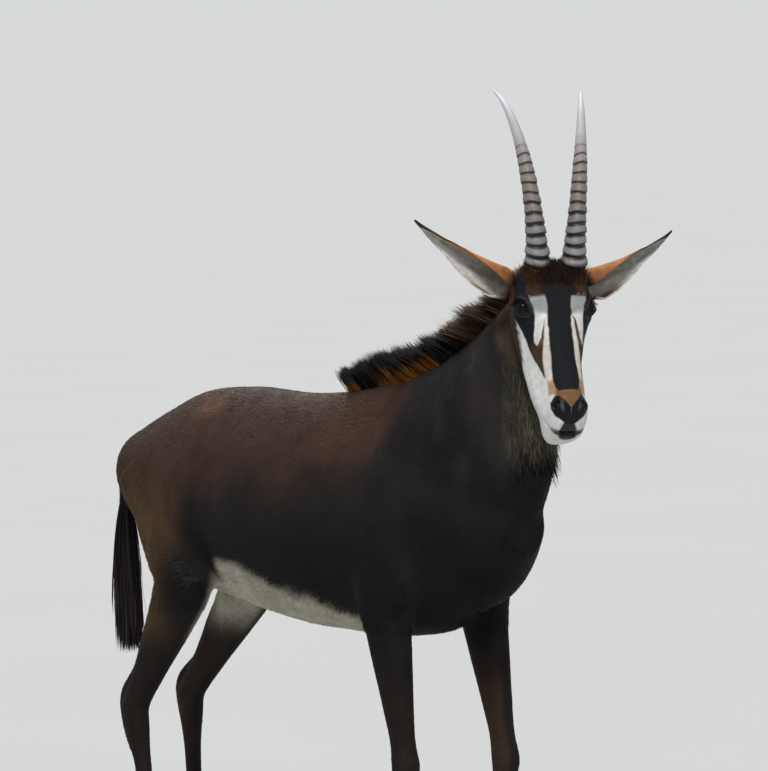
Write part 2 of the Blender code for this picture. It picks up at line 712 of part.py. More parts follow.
def lock(root, along, flat, length, width, thick, bend, sink=0.012, rings=3):
    """A flat, tapering, bending lock that ends in a point and starts below its root."""
    along = Vector(along).normalized()
    flat = Vector(flat)
    flat = (flat - along * flat.dot(along)).normalized()
    normal = along.cross(flat)
    points = []
    for k in range(rings):
        t = k / rings
        middle = Vector(root) + along * (length * t - sink * (1 - t)) + Vector(bend) * t * t
        half = width / 2 * (0.72 + 0.9 * t - 1.25 * t * t)
        deep = thick / 2 * (1 - 0.45 * t)
        points += [middle + flat * half, middle + normal * deep, middle - flat * half, middle - normal * deep]
    points.append(Vector(root) + along * length + Vector(bend))
    faces = [(3, 2, 1, 0)]
    for k in range(rings - 1):
        for i in range(4):
            j = (i + 1) % 4
            faces.append((4 * k + i, 4 * k + j, 4 * k + 4 + j, 4 * k + 4 + i))
    tip = len(points) - 1
    for i in range(4):
        faces.append((tip - 4 + i, tip - 4 + (i + 1) % 4, tip))
    return mesh_object("lock", points, faces)


def crest_line(count):
    """Points along the crest of the neck from behind the ears to behind the withers."""
    crest = [tuple(row[0:3]) for row in smooth_rows(NECK, 60) if row[0] > 0.09]
    back = [(x, 0.0, top) for x, top, _, _, _ in smooth_rows(TRUNK, 60) if MANE_START - 0.01 < x < 0.06]
    line = np.array(sorted(back + crest))
    line = line[line[:, 0] < 0.497]
    return smooth_rows(line, count)


def mane_locks():
    """Upright locks in three staggered files along the crest."""
    draw = random.Random(11)
    line = crest_line(MANE_LOCKS)
    locks = []
    for k in range(MANE_LOCKS):
        before = Vector(line[max(k - 1, 0)])
        after = Vector(line[min(k + 1, MANE_LOCKS - 1)])
        ahead = (after - before).normalized()
        side = Vector((0, 1, 0))
        up = ahead.cross(side) * -1
        up = up if up.z > 0 else -up
        part = k / (MANE_LOCKS - 1)
        height = MANE_HEIGHT * (0.62 + 0.38 * math.sin(math.pi * min(1.0, part * 1.15 + 0.08)))
        file = (k % 3) - 1
        along = up - ahead * (0.30 + draw.uniform(-0.12, 0.12)) + side * (0.20 * file + draw.uniform(-0.05, 0.05))
        root = Vector(line[k]) + side * 0.011 * file - up * 0.002
        bend = -ahead * height * draw.uniform(0.10, 0.30) + side * height * 0.08 * file
        length = height * draw.uniform(0.94, 1.10)
        locks.append(lock(root, along, ahead, length, 0.032, 0.012, bend))
    return locks


def throat_locks():
    """The longer hair under the throat, in two files that hang down and forwards."""
    draw = random.Random(5)
    line = [row for row in smooth_rows(NECK, 60) if 1.12 < row[5] < 1.385 and row[0] > 0.15]
    locks = []
    for k in range(THROAT_LOCKS):
        row = line[int(k * (len(line) - 1) / (THROAT_LOCKS - 1))]
        turn = row[7]
        side = Vector((-math.sin(turn), math.cos(turn), 0))
        file = (k % 3) - 1
        bottom = Vector(row[3:6])
        inward = (Vector(row[0:3]) - bottom).normalized()
        root = bottom + side * 0.022 * file + inward * 0.004 * abs(file)
        along = -inward * 0.55 + Vector((0.05, 0, -0.9)) + side * 0.12 * file
        bend = inward * 0.008 + Vector((0, 0, -0.006))
        locks.append(lock(root, along, side, 0.066 * draw.uniform(0.85, 1.15), 0.024, 0.010, bend, sink=0.016))
    return locks


def mane_core():
    """A low fin under the mane that the locks stand in."""
    line = crest_line(26)
    rings = []
    for k, point in enumerate(line):
        part = k / (len(line) - 1)
        rise = MANE_CORE * (0.25 + 0.75 * math.sin(math.pi * min(1.0, part * 0.95 + 0.06)))
        middle = Vector(point)
        lean = Vector((-0.35, 0, 0.94)) * rise
        rings.append([middle + lean, middle + Vector((0, 0.013, 0)) + lean * 0.2,
                      middle + Vector((0, 0.012, -0.02)), middle + Vector((0, -0.012, -0.02)),
                      middle + Vector((0, -0.013, 0)) + lean * 0.2])
    return ring_loft("mane_core", rings)


def slab(middle, normal, sizes):
    """A thin sheet that parts two pieces, GAP thick along its normal."""
    axes = square_axes(normal, (0, 1, 0))
    return box("slab", Vector(middle), axes, (GAP, sizes[0], sizes[1]))


def body_slabs():
    """The cuts between head and neck, along the trunk and down each leg."""
    slabs = [
        slab((0.390, 0, 1.375), (0.60, -0.05, 0.80), (0.5, 0.5)),
        slab((0.265, 0, 1.135), (0.62, 0, 0.78), (0.8, 0.76)),
        slab((-0.150, 0, 0.95), (1, 0, 0), (0.8, 1.0)),
        slab((-0.440, 0, 0.98), (1, 0, 0.12), (0.8, 0.80)),
    ]
    for side in ("right", "left"):
        fore = FORE_JOINTS[side]
        for place, reach in ((1.235, 0.20), (1.885, 0.12), (2.125, 0.12), (2.90, 0.10)):
            slabs.append(leg_slab(fore, place, reach))
        hind = HIND_JOINTS[side]
        for place, reach in ((1.30, 0.38), (1.83, 0.22), (2.16, 0.14), (2.90, 0.10)):
            slabs.append(leg_slab(hind, place, reach))
    return slabs


def leg_slab(joints, place, reach):
    middle = along_joints(joints, place)
    ahead = along_joints(joints, min(place + 0.1, len(joints) - 1))
    behind = along_joints(joints, place - 0.1)
    return slab(middle, ahead - behind, (0.14, reach))


PIECE_NAMES = {
    "neck_upper": (0.43, 0.0, 1.45),
    "neck_lower": (0.32, 0.0, 1.25),
    "chest": (0.12, 0.0, 0.98),
    "barrel": (-0.30, 0.0, 0.97),
    "hindquarters": (-0.67, 0.0, 0.98),
}


def leg_piece_names():
    names = {}
    for side in ("right", "left"):
        fore = FORE_JOINTS[side]
        hind = HIND_JOINTS[side]
        for name, joints, place in (
            ("forearm", fore, 1.56), ("knee", fore, 2.0), ("fore_cannon", fore, 2.5), ("fore_pastern", fore, 3.3),
            ("gaskin", hind, 1.56), ("hock", hind, 2.0), ("hind_cannon", hind, 2.5), ("hind_pastern", hind, 3.3),
        ):
            names[name + "_" + side] = tuple(along_joints(joints, place))
    return names


def middle_of(points):
    low = np.min(np.array(points), axis=0)
    high = np.max(np.array(points), axis=0)
    return Vector((low + high) / 2)


def split_by_name(obj, names):
    """The loose pieces as objects, each named for the place that is nearest its middle."""
    pieces = [piece for piece in loose_pieces(obj) if len(piece[1]) > 30]
    made = {}
    for name, place in names.items():
        points, faces = min(pieces, key=lambda piece: (middle_of(piece[0]) - Vector(place)).length)
        pieces = [piece for piece in pieces if piece[0] is not points]
        made[name] = mesh_object(name, points, faces)
    bpy.data.objects.remove(obj)
    return made


def foot_axes(joints):
    """The top plane of a foot's hooves slopes down to the heel."""
    slope = math.atan2(HOOF_TOE_HEIGHT - HOOF_HEEL_HEIGHT, HOOF_LENGTH)
    ahead = Vector((math.cos(slope), 0, math.sin(slope)))
    return ahead, Vector((0, 1, 0)), Vector((-math.sin(slope), 0, math.cos(slope)))


def foot_heel(joints):
    """The place on the ground under the back of the foot."""
    end = Vector(joints[-1])
    return Vector((end.x - HOOF_LENGTH * 0.44, end.y, 0.0))


def foot_space(joints):
    """All that lies below the coronet, to be cut from the pastern."""
    axes = foot_axes(joints)
    heel = foot_heel(joints)
    middle = heel + Vector((HOOF_LENGTH / 2, 0, (HOOF_TOE_HEIGHT + HOOF_HEEL_HEIGHT) / 2))
    depth = 0.10
    return box("foot_space", middle + axes[2] * (GAP - depth / 2), axes, (0.16, 0.13, depth))


def hoof_shape(name, joints, sign):
    """One hoof: a pointed sole, walls that lean in, and a sloping flat top."""
    heel = foot_heel(joints)
    rings = []
    for level, shrink in ((0.0, 1.0), (0.5, 0.94), (1.0, 0.84)):
        ring = []
        for i in range(HOOF_SIDES):
            angle = 2 * math.pi * i / HOOF_SIDES
            forward = 0.5 + 0.5 * math.cos(angle)
            taper = 1 - 0.55 * max(0.0, math.cos(angle)) ** 2
            x = HOOF_LENGTH * (forward * (1 - (1 - shrink) * 1.9) + (1 - shrink) * 0.15)
            wide = 1.0 if math.sin(angle) * sign > 0 else 0.75
            y = HOOF_WIDTH / 2 * math.sin(angle) * taper * wide * (0.4 + 0.6 * shrink)
            top = HOOF_HEEL_HEIGHT + (HOOF_TOE_HEIGHT - HOOF_HEEL_HEIGHT) * x / HOOF_LENGTH
            ring.append((x, y, level * top))
        rings.append(ring)
    turn = Matrix.Rotation(sign * HOOF_SPLAY, 4, "Z")
    offset = Vector((0, sign * (HOOF_WIDTH / 2 * 0.75 + HOOF_CLEFT), 0))
    placed = [[heel + offset + turn @ Vector(p) for p in ring] for ring in rings]
    return ring_loft(name, placed)


def dewclaw_shape(name, joints, sign):
    fetlock = Vector(joints[3])
    axes = square_axes((0.25, 0, 0.97), (0, 1, 0))
    middle = fetlock + Vector((-0.027, sign * 0.015, -0.014))
    frame = (axes[1].cross(axes[0]), axes[1], axes[0])
    return ellipsoid(name, middle, DEWCLAW_RADII, frame, 7, 5)


def tail_shapes():
    """The hairy dock as a tube, and the tuft as a core that carries hanging locks."""
    draw = random.Random(3)
    split = TAIL_SPLIT
    rows = smooth_rows([(*p, r) for p, r in zip(TAIL_LINE, TAIL_RADII)], 40)
    upper = [row for row in rows if row[2] > split - 0.02]
    dock = tube_shape("tail_dock", [row[:3] for row in upper], [row[3] for row in upper], 8, 10)
    level = (Vector((1, 0, 0)), Vector((0, 1, 0)), Vector((0, 0, 1)))
    cut = box("cut", Vector((-0.9, 0, split + GAP - 0.1)), level, (0.2, 0.2, 0.2))
    combine(dock, [cut], "DIFFERENCE")
    lower = [row for row in rows if row[2] < split + 0.02]
    core = tube_shape("tail_tuft", [row[:3] for row in lower], [row[3] * 1.15 for row in lower], 12, 12)
    locks = []
    for k in range(TUFT_LOCKS):
        part = k / (TUFT_LOCKS - 1)
        height = split - 0.035 - part * 0.145
        row = min(rows, key=lambda r: abs(r[2] - height))
        angle = 2.4 * k
        outward = Vector((math.cos(angle), math.sin(angle), 0))
        root = Vector(row[:3]) + outward * row[3] * 0.85
        reach = (height - TAIL_END) * draw.uniform(0.62, 1.0) if part < 0.75 else (height - TAIL_END)
        length = min(reach, 0.24)
        along = outward * 0.14 + Vector((0.02, 0, -1))
        flat = Vector((-outward.y, outward.x, 0))
        bend = -outward * length * 0.08 + Vector((0.0, draw.uniform(-0.01, 0.01), 0))
        locks.append(lock(root, along, flat, length, 0.036, 0.015, bend, sink=0.014, rings=4))
    above = box("cut", Vector((-0.9, 0, split + 0.1)), level, (0.2, 0.2, 0.2))
    combine(core, locks, "UNION")
    combine(core, [above], "DIFFERENCE")
    keep_largest(core)
    return dock, core


def build():
    clear_scene()
    shells = [trunk_shape(), neck_shape()]
    for side in ("right", "left"):
        shells.append(limb_shape("foreleg_" + side, FORE_JOINTS[side], FORE_SHAPE, 60))
        shells.append(limb_shape("hindleg_" + side, HIND_JOINTS[side], HIND_SHAPE, 60))
        shells.append(heel_shape(side))
        shells.append(ham_shape(side))
    body = fused(joined("body", shells), 0.007, 16, BODY_TRIANGLES)
    head, nose, eyes = head_pieces()

    combine(body, [mane_core()] + mane_locks() + throat_locks(), "UNION")
    feet = [foot_space(joints) for joints in list(FORE_JOINTS.values()) + list(HIND_JOINTS.values())]
    combine(body, body_slabs() + feet, "DIFFERENCE")
    names = {**PIECE_NAMES, **leg_piece_names()}
    pieces = split_by_name(body, names)

    combine(pieces["neck_upper"], [grown(head, GAP), copy_of(head, "skull")], "DIFFERENCE")
    keep_largest(pieces["neck_upper"])

    made = list(pieces.values()) + [head, nose] + eyes
    for side, sign in (("left", 1), ("right", -1)):
        horn = horn_shape(side, sign)
        combine(horn, [grown(head, GAP), copy_of(head, "skull")], "DIFFERENCE")
        ear = ear_shape(side, sign)
        combine(ear, [grown(head, GAP), copy_of(head, "skull")], "DIFFERENCE")
        made += [keep_largest(horn), keep_largest(ear)]
        for foot, joints in (("fore", FORE_JOINTS[side]), ("hind", HIND_JOINTS[side])):
            for toe, way in (("outer", sign), ("inner", -sign)):
                made.append(hoof_shape("_".join(("hoof", foot, side, toe)), joints, way))
                claw = dewclaw_shape("_".join(("dewclaw", foot, side, toe)), joints, way)
                combine(claw, [grown(pieces[foot + "_pastern_" + side], GAP)], "DIFFERENCE")
                made.append(keep_largest(claw))
    dock, tuft = tail_shapes()
    combine(dock, [grown(pieces["hindquarters"], GAP)], "DIFFERENCE")
    made += [keep_largest(dock), tuft]
    finish(made)


# Start of the node's name, name of its finish, colour, roughness
LOOKS = (
    ("horn", "grey_horn", (0.16, 0.14, 0.13), 0.45),
    ("hoof", "black_hoof", (0.05, 0.045, 0.04), 0.4),
    ("dewclaw", "black_hoof", (0.05, 0.045, 0.04), 0.4),
    ("eye", "wet_eye", (0.01, 0.008, 0.006), 0.08),
    ("nose", "bare_nose", (0.015, 0.014, 0.014), 0.35),
    ("ear", "rust_hair", (0.42, 0.17, 0.06), 0.8),
    ("head", "pale_hair", (0.30, 0.24, 0.20), 0.8),
    ("hindquarters", "red_brown_hair", (0.07, 0.03, 0.018), 0.7),
    ("gaskin", "rust_brown_hair", (0.10, 0.045, 0.02), 0.75),
    ("", "black_hair", (0.035, 0.022, 0.018), 0.75),
)


def finish(made):
    """Colours every piece and moves all of them so that the origin is under their middle."""
    bounds = np.array([v.co[:] for obj in made for v in obj.data.vertices])
    low = bounds.min(axis=0)
    high = bounds.max(axis=0)
    shift = Matrix.Translation((-(low[0] + high[0]) / 2, -(low[1] + high[1]) / 2, 0.0))
    for obj in made:
        obj.data.transform(shift)
        finish_name, colour, roughness = next(look[1:] for look in LOOKS if obj.name.startswith(look[0]))
        obj.data.materials.clear()
        obj.data.materials.append(material(finish_name, colour, roughness))
        obj.data.shade_smooth()
        obj.data.set_sharp_from_angle(angle=math.radians(40))
        cutters.objects.unlink(obj)
        parts.objects.link(obj)
        obj.data.calc_loop_triangles()
        print(obj.name, len(obj.data.loop_triangles))
    print("moved", [round(v, 4) for v in shift.translation], "box", low.round(3), high.round(3))


build()
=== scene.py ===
# %% [markdown]
# # A sable antelope, life size
# This notebook dresses a measured model of a standing sable antelope, whose head is
# turned to its right. The measured model gives every part its place and size. Here the
# animal gets one skin from nose to tail, a coat of small mesh tufts that follow the lie
# of the hair, ringed horns, wet eyes, hooves, and a plain studio to stand in.

# %% Start with the measured frame
import json
import math

import bmesh
import bpy
import numpy as np
from mathutils import Matrix, Vector

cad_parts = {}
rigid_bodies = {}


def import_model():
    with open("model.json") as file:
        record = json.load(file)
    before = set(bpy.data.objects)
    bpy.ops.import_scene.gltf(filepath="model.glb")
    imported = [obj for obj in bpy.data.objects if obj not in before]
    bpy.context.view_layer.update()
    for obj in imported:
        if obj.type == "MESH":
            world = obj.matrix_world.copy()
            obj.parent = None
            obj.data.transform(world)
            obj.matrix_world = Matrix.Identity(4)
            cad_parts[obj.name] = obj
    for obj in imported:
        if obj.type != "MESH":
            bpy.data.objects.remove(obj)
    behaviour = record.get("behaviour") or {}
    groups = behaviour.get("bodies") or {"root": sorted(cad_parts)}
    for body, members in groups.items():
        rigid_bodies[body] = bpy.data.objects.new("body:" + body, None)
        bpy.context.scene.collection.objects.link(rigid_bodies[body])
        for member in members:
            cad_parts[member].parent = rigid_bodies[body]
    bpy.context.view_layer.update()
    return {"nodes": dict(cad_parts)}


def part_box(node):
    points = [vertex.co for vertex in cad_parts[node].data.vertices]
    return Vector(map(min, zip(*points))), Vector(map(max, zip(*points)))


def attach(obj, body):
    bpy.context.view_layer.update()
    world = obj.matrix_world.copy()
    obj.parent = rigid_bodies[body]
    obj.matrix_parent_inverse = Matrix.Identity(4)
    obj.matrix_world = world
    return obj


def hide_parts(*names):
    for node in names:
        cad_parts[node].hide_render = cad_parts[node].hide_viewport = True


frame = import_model()
print("nodes in the frame:", len(frame["nodes"]))

# %% [markdown]
# ## Where things are
# Lengths are in metres, with +X ahead of the animal, +Y to its left and +Z up. They are
# set out from a point on the ground below the withers, which is easier to think in than
# the middle of the whole box. The head has three directions of its own: along the face,
# to the animal's left, and out from the face. All pieces are moved into the frame at the
# end by one step, measured between the eye here and the same eye in the frame.

# %% The head's own directions
HEAD_YAW = math.radians(-32.0)
HEAD_PITCH = math.radians(63.0)
HORN_ROOT = np.array((0.604, -0.054, 1.590))
UP = np.array((0.0, 0.0, 1.0))


def unit(vector):
    vector = np.asarray(vector, float)
    return vector / np.maximum(np.linalg.norm(vector, axis=-1, keepdims=True), 1e-9)


HEAD_AHEAD = np.array((math.cos(HEAD_YAW), math.sin(HEAD_YAW), 0.0))
HEAD_ALONG = math.cos(HEAD_PITCH) * HEAD_AHEAD - math.sin(HEAD_PITCH) * UP
HEAD_OUT = math.sin(HEAD_PITCH) * HEAD_AHEAD + math.cos(HEAD_PITCH) * UP
HEAD_SIDE = np.cross(HEAD_OUT, HEAD_ALONG)
HEAD_AXES = np.stack((HEAD_ALONG, HEAD_SIDE, HEAD_OUT))


def head_vector(along, side, out):
    return np.array((along, side, out), float) @ HEAD_AXES


def head_point(along, side, out):
    return HORN_ROOT + head_vector(along, side, out)


def in_head(points):
    """Places as lengths along the face, to the side and out from it."""
    return (points - HORN_ROOT) @ HEAD_AXES.T


def square_axes(first, second):
    """Three square directions, the first kept and the second made square to it."""
    first = unit(first)
    second = unit(second - first * np.dot(first, second))
    return first, second, np.cross(first, second)


EYE_RADIUS = 0.0205
EYE_PLACE = (0.086, 0.0725, -0.038)
SIGNS = {"left": 1, "right": -1}


def eye_frame(sign):
    """The eye's middle, where it looks, towards its front corner, and up across the lids."""
    middle = head_point(EYE_PLACE[0], EYE_PLACE[1] * sign, EYE_PLACE[2])
    gaze = head_vector(0.05, 0.74 * sign, 0.65)
    return middle, square_axes(gaze, head_vector(0.62, 0.0, 0.70))


eye_low, eye_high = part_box("eye_left")
SHIFT = np.array((eye_low + eye_high) / 2) - eye_frame(1)[0]
print("step from working lengths to the frame:", SHIFT.round(4))

# %% [markdown]
# ## Small tools for shapes
# Every soft form of the body is a loft: rings of points along a line, joined into a
# closed skin. The numbers of each ring come from short tables, and a smooth curve through
# the table rows gives as many rings as are wanted. The lofts are then melted together
# with a Voxel Remesh, which turns overlapping shells into one surface, much as clay
# limbs are pressed onto a clay body.

# %% Lofts and mesh objects
workshop = bpy.data.collections.new("workshop")
bpy.context.scene.collection.children.link(workshop)


def in_workshop(name, mesh):
    """An object for the mesh, kept in the workshop until it is placed."""
    obj = bpy.data.objects.new(name, mesh)
    workshop.objects.link(obj)
    return obj


def mesh_object(name, points, faces):
    mesh = bpy.data.meshes.new(name)
    mesh.from_pydata(np.asarray(points).tolist(), [], faces)
    return in_workshop(name, mesh)


def shape_object(name, shape):
    """An object from a shape under work, which is then given up."""
    mesh = bpy.data.meshes.new(name)
    shape.to_mesh(mesh)
    shape.free()
    return in_workshop(name, mesh)


def outward(obj):
    shape = bmesh.new()
    shape.from_mesh(obj.data)
    bmesh.ops.recalc_face_normals(shape, faces=shape.faces)
    shape.to_mesh(obj.data)
    shape.free()
    return obj


def smooth_rows(rows, count):
    """Rows of numbers read at even steps from one smooth curve through the given rows."""
    rows = np.array(rows, float)
    gaps = np.linalg.norm(np.diff(rows, axis=0), axis=1)
    at = np.concatenate([[0.0], np.cumsum(gaps)])
    slopes = np.gradient(rows, at, axis=0)
    where = np.linspace(0.0, at[-1], count)
    i = np.clip(np.searchsorted(at, where) - 1, 0, len(rows) - 2)
    span = (at[i + 1] - at[i])[:, None]
    t = (where - at[i])[:, None] / span
    start = (2 * t**3 - 3 * t**2 + 1) * rows[i] + (t**3 - 2 * t**2 + t) * span * slopes[i]
    end = (3 * t**2 - 2 * t**3) * rows[i + 1] + (t**3 - t**2) * span * slopes[i + 1]
    return start + end


def ring_loft(name, rings):
    """A closed skin over rings, given as an array of rings by points by three lengths."""
    rings = np.asarray(rings, float)
    count, around = rings.shape[:2]
    corner = np.arange((count - 1) * around).reshape(count - 1, around)
    following = np.roll(corner, -1, axis=1)
    quads = np.stack((corner, following, following + around, corner + around), axis=-1).reshape(-1, 4)
    faces = quads.tolist() + [list(range(around)), list(range((count - 1) * around, count * around))]
    return outward(mesh_object(name, rings.reshape(-1, 3), faces))


def section_ring(top, bottom, half_width, turn, around, narrow=0.0):
    """A ring from its top and bottom points, with its sides level across the turned body."""
    top = np.asarray(top, float)
    bottom = np.asarray(bottom, float)
    angle = 2 * math.pi * np.arange(around) / around
    high = np.cos(angle)[:, None]
    wide = (np.sin(angle) * (1 - narrow * np.maximum(0.0, np.cos(angle)) ** 1.5))[:, None]
    side = np.array((-math.sin(turn), math.cos(turn), 0.0)) * half_width
    return (top + bottom) / 2 + (top - bottom) / 2 * high + side * wide


# %% Fusing, cutting and baking modifiers
def apply_modifiers(obj):
    """The object's shape as its modifiers leave it, kept as plain mesh."""
    bpy.context.view_layer.update()
    graph = bpy.context.evaluated_depsgraph_get()
    baked = bpy.data.meshes.new_from_object(obj.evaluated_get(graph))
    obj.modifiers.clear()
    obj.data = baked
    return obj


def joined(name, objects):
    """The objects' shells in one mesh, still overlapping."""
    shape = bmesh.new()
    for obj in objects:
        shape.from_mesh(obj.data)
        bpy.data.objects.remove(obj)
    return shape_object(name, shape)


def relax(obj, rounds, group=""):
    """Evens the surface out, everywhere or by the weights of a group of points."""
    smooth = obj.modifiers.new("relax", "SMOOTH")
    smooth.factor = 0.5
    smooth.iterations = rounds
    smooth.vertex_group = group


def fused(obj, grain, rounds):
    """Overlapping shells melted into one skin and smoothed."""
    remesh = obj.modifiers.new("fuse", "REMESH")
    remesh.mode = "VOXEL"
    remesh.voxel_size = grain
    relax(obj, rounds)
    return apply_modifiers(obj)


def combine(obj, others, operation):
    """One Boolean of the object with all of the others, which are then removed."""
    group = bpy.data.collections.new("operands")
    bpy.context.scene.collection.children.link(group)
    for other in others:
        group.objects.link(other)
    cut = obj.modifiers.new("combine", "BOOLEAN")
    cut.operation = operation
    cut.operand_type = "COLLECTION"
    cut.collection = group
    cut.solver = "MANIFOLD"
    apply_modifiers(obj)
    for other in others:
        bpy.data.objects.remove(other)
    bpy.data.collections.remove(group)
    return obj


def numbers(items, name, width=3, kind=np.float32):
    """One value of every item of a mesh, in rows as wide as the value."""
    values = np.empty(len(items) * width, kind)
    items.foreach_get(name, values)
    return values.reshape(-1, width)


def points_of(obj):
    return numbers(obj.data.vertices, "co").astype(float)


def normals_of(obj):
    return numbers(obj.data.vertex_normals, "vector").astype(float)


def set_points(obj, points):
    obj.data.vertices.foreach_set("co", np.asarray(points, np.float32).ravel())
    obj.data.update()


def ellipsoid(name, middle, radii, axes, segments=32, rings=20):
    shape = bmesh.new()
    bmesh.ops.create_uvsphere(shape, u_segments=segments, v_segments=rings, radius=1.0)
    obj = shape_object(name, shape)
    set_points(obj, points_of(obj) * np.array(radii) @ np.array(axes) + middle)
    return outward(obj)


def soft(start, end, value):
    """0 before start, 1 past end, and an even ease between them."""
    t = np.clip((np.asarray(value, float) - start) / (end - start), 0.0, 1.0)
    return t * t * (3 - 2 * t)


def spot(*offsets):
    """1 where every offset is 0, fading away as they grow past 1."""
    return np.exp(-sum(offset**2 for offset in offsets))


def dress(obj, finish):
    """One finish and smooth shading for a whole piece."""
    obj.data.materials.clear()
    obj.data.materials.append(finish)
    obj.data.polygons.foreach_set("use_smooth", np.ones(len(obj.data.polygons), bool))


# %% [markdown]
# ## The trunk, neck and legs
# The trunk is lofted from sections across the back, the neck from sections that turn
# with the head, and each leg from sections at its joints, so the knees, hocks and
# fetlocks come out at their true places. Two more tubes make the tendon at the hock and
# the muscle behind the thigh, which give the hind leg its two edges.

# %% Sections of the trunk and neck
# Place along the back, top, underside, half width, how narrow the top is
TRUNK = (
    (-0.870, 1.092, 1.025, 0.042, 0.0), (-0.850, 1.125, 0.970, 0.084, 0.0),
    (-0.795, 1.158, 0.905, 0.122, 0.1), (-0.700, 1.206, 0.830, 0.158, 0.2),
    (-0.580, 1.253, 0.772, 0.189, 0.3), (-0.420, 1.268, 0.738, 0.212, 0.3),
    (-0.250, 1.262, 0.708, 0.232, 0.3), (-0.080, 1.276, 0.700, 0.230, 0.4),
    (0.060, 1.302, 0.697, 0.205, 0.5), (0.190, 1.280, 0.712, 0.184, 0.45),
    (0.310, 1.210, 0.768, 0.154, 0.25), (0.412, 1.120, 0.836, 0.114, 0.0),
    (0.468, 1.045, 0.920, 0.065, 0.0),
)
# Crest x, y, z, underside x, y, z, half width, turn to the side
NECK = (
    (-0.060, 0.0, 1.245, 0.260, 0.0, 0.880, 0.150, 0.00),
    (0.100, 0.0, 1.312, 0.466, 0.0, 0.975, 0.138, 0.00),
    (0.200, 0.0, 1.354, 0.520, 0.0, 1.110, 0.124, -0.05),
    (0.285, -0.002, 1.400, 0.528, -0.006, 1.220, 0.106, -0.12),
    (0.365, -0.004, 1.456, 0.522, -0.010, 1.305, 0.091, -0.22),
    (0.440, -0.004, 1.512, 0.518, -0.008, 1.372, 0.080, -0.36),
    (0.492, -0.004, 1.554, 0.545, -0.010, 1.405, 0.070, -0.50),
    (0.530, -0.018, 1.566, 0.580, -0.035, 1.430, 0.055, -0.61),
)


def trunk_shape():
    rings = [section_ring((x, 0, top), (x, 0, bottom), half, 0.0, 64, narrow)
             for x, top, bottom, half, narrow in smooth_rows(TRUNK, 80)]
    return ring_loft("trunk", rings)


def neck_shape():
    rings = [section_ring(row[0:3], row[3:6], row[6], row[7], 56, 0.25)
             for row in smooth_rows(NECK, 50)]
    return ring_loft("neck", rings)


# %% Joints and sections of the legs
FORE_JOINTS = {
    "right": ((0.150, -0.120, 1.060), (0.142, -0.134, 0.770), (0.203, -0.130, 0.410),
              (0.193, -0.128, 0.118), (0.221, -0.128, 0.030)),
    "left": ((0.170, 0.120, 1.060), (0.195, 0.134, 0.770), (0.276, 0.130, 0.412),
             (0.262, 0.128, 0.118), (0.290, 0.128, 0.030)),
}
HIND_JOINTS = {
    "right": ((-0.665, -0.105, 1.050), (-0.530, -0.145, 0.800), (-0.725, -0.135, 0.472),
              (-0.658, -0.130, 0.120), (-0.628, -0.130, 0.030)),
    "left": ((-0.675, 0.105, 1.050), (-0.580, 0.145, 0.800), (-0.815, 0.135, 0.475),
             (-0.790, 0.130, 0.120), (-0.760, 0.130, 0.030)),
}
# Joint number with the part of the way to the next, half depth, half width
FORE_SHAPE = (
    (0.00, 0.120, 0.045), (0.50, 0.118, 0.062), (0.85, 0.092, 0.058), (1.05, 0.072, 0.050),
    (1.30, 0.056, 0.044), (1.60, 0.042, 0.036), (1.86, 0.034, 0.031), (2.00, 0.036, 0.036),
    (2.12, 0.031, 0.032), (2.26, 0.0235, 0.0235), (2.60, 0.0205, 0.0200), (2.84, 0.0230, 0.0220),
    (3.00, 0.0290, 0.0280), (3.35, 0.0245, 0.0270), (3.70, 0.0280, 0.0310), (4.00, 0.0330, 0.0340),
)
HIND_SHAPE = (
    (0.00, 0.125, 0.040), (0.45, 0.116, 0.060), (0.80, 0.101, 0.064), (1.05, 0.086, 0.060),
    (1.35, 0.067, 0.050), (1.70, 0.047, 0.036), (1.92, 0.038, 0.032), (2.00, 0.038, 0.033),
    (2.12, 0.035, 0.030), (2.30, 0.0270, 0.0245), (2.60, 0.0235, 0.0210), (2.86, 0.0250, 0.0230),
    (3.00, 0.0300, 0.0285), (3.35, 0.0250, 0.0270), (3.70, 0.0285, 0.0310), (4.00, 0.0330, 0.0340),
)
ACROSS = np.array((0.0, 1.0, 0.0))


def along_joints(joints, place):
    """The point at a joint number with the part of the way to the next."""
    first = min(int(place), len(joints) - 2)
    start = np.array(joints[first])
    return start + (np.array(joints[first + 1]) - start) * (place - first)


def limb_shape(name, joints, shape):
    rings = []
    for place, half_depth, half_width in smooth_rows(shape, 110):
        ahead = along_joints(joints, min(place + 0.2, len(joints) - 1))
        behind = along_joints(joints, max(place - 0.2, 0.0))
        front = unit(np.cross(ACROSS, unit(ahead - behind))) * -half_depth
        middle = along_joints(joints, place)
        rings.append(section_ring(middle + front, middle - front, half_width, 0.0, 32))
    return ring_loft(name, rings)


def tube_shape(name, line, radii, steps, around, flat=1.0):
    """A round or flattened tube along a smooth line, its radius following too."""
    rows = smooth_rows([(*p, r) for p, r in zip(line, radii)], steps)
    angle = 2 * math.pi * np.arange(around)[:, None] / around
    rings = []
    for k, row in enumerate(rows):
        along = unit(rows[min(k + 1, steps - 1)][:3] - rows[max(k - 1, 0)][:3])
        front = unit(np.cross(ACROSS, along))
        rings.append(row[:3] + row[3] * (ACROSS * np.sin(angle) + front * np.cos(angle) * flat))
    return ring_loft(name, rings)


def heel_shape(side):
    """The tendon behind the gaskin down to the point of the hock."""
    joints = HIND_JOINTS[side]
    hock = np.array(joints[2])
    line = [along_joints(joints, 1.35) + (-0.030, 0, 0), along_joints(joints, 1.7) + (-0.043, 0, 0),
            hock + (-0.034, 0, 0.022), hock + (-0.022, 0, -0.045), hock + (-0.004, 0, -0.11)]
    return tube_shape("heel_" + side, line, (0.016, 0.013, 0.0165, 0.018, 0.012), 30, 20)


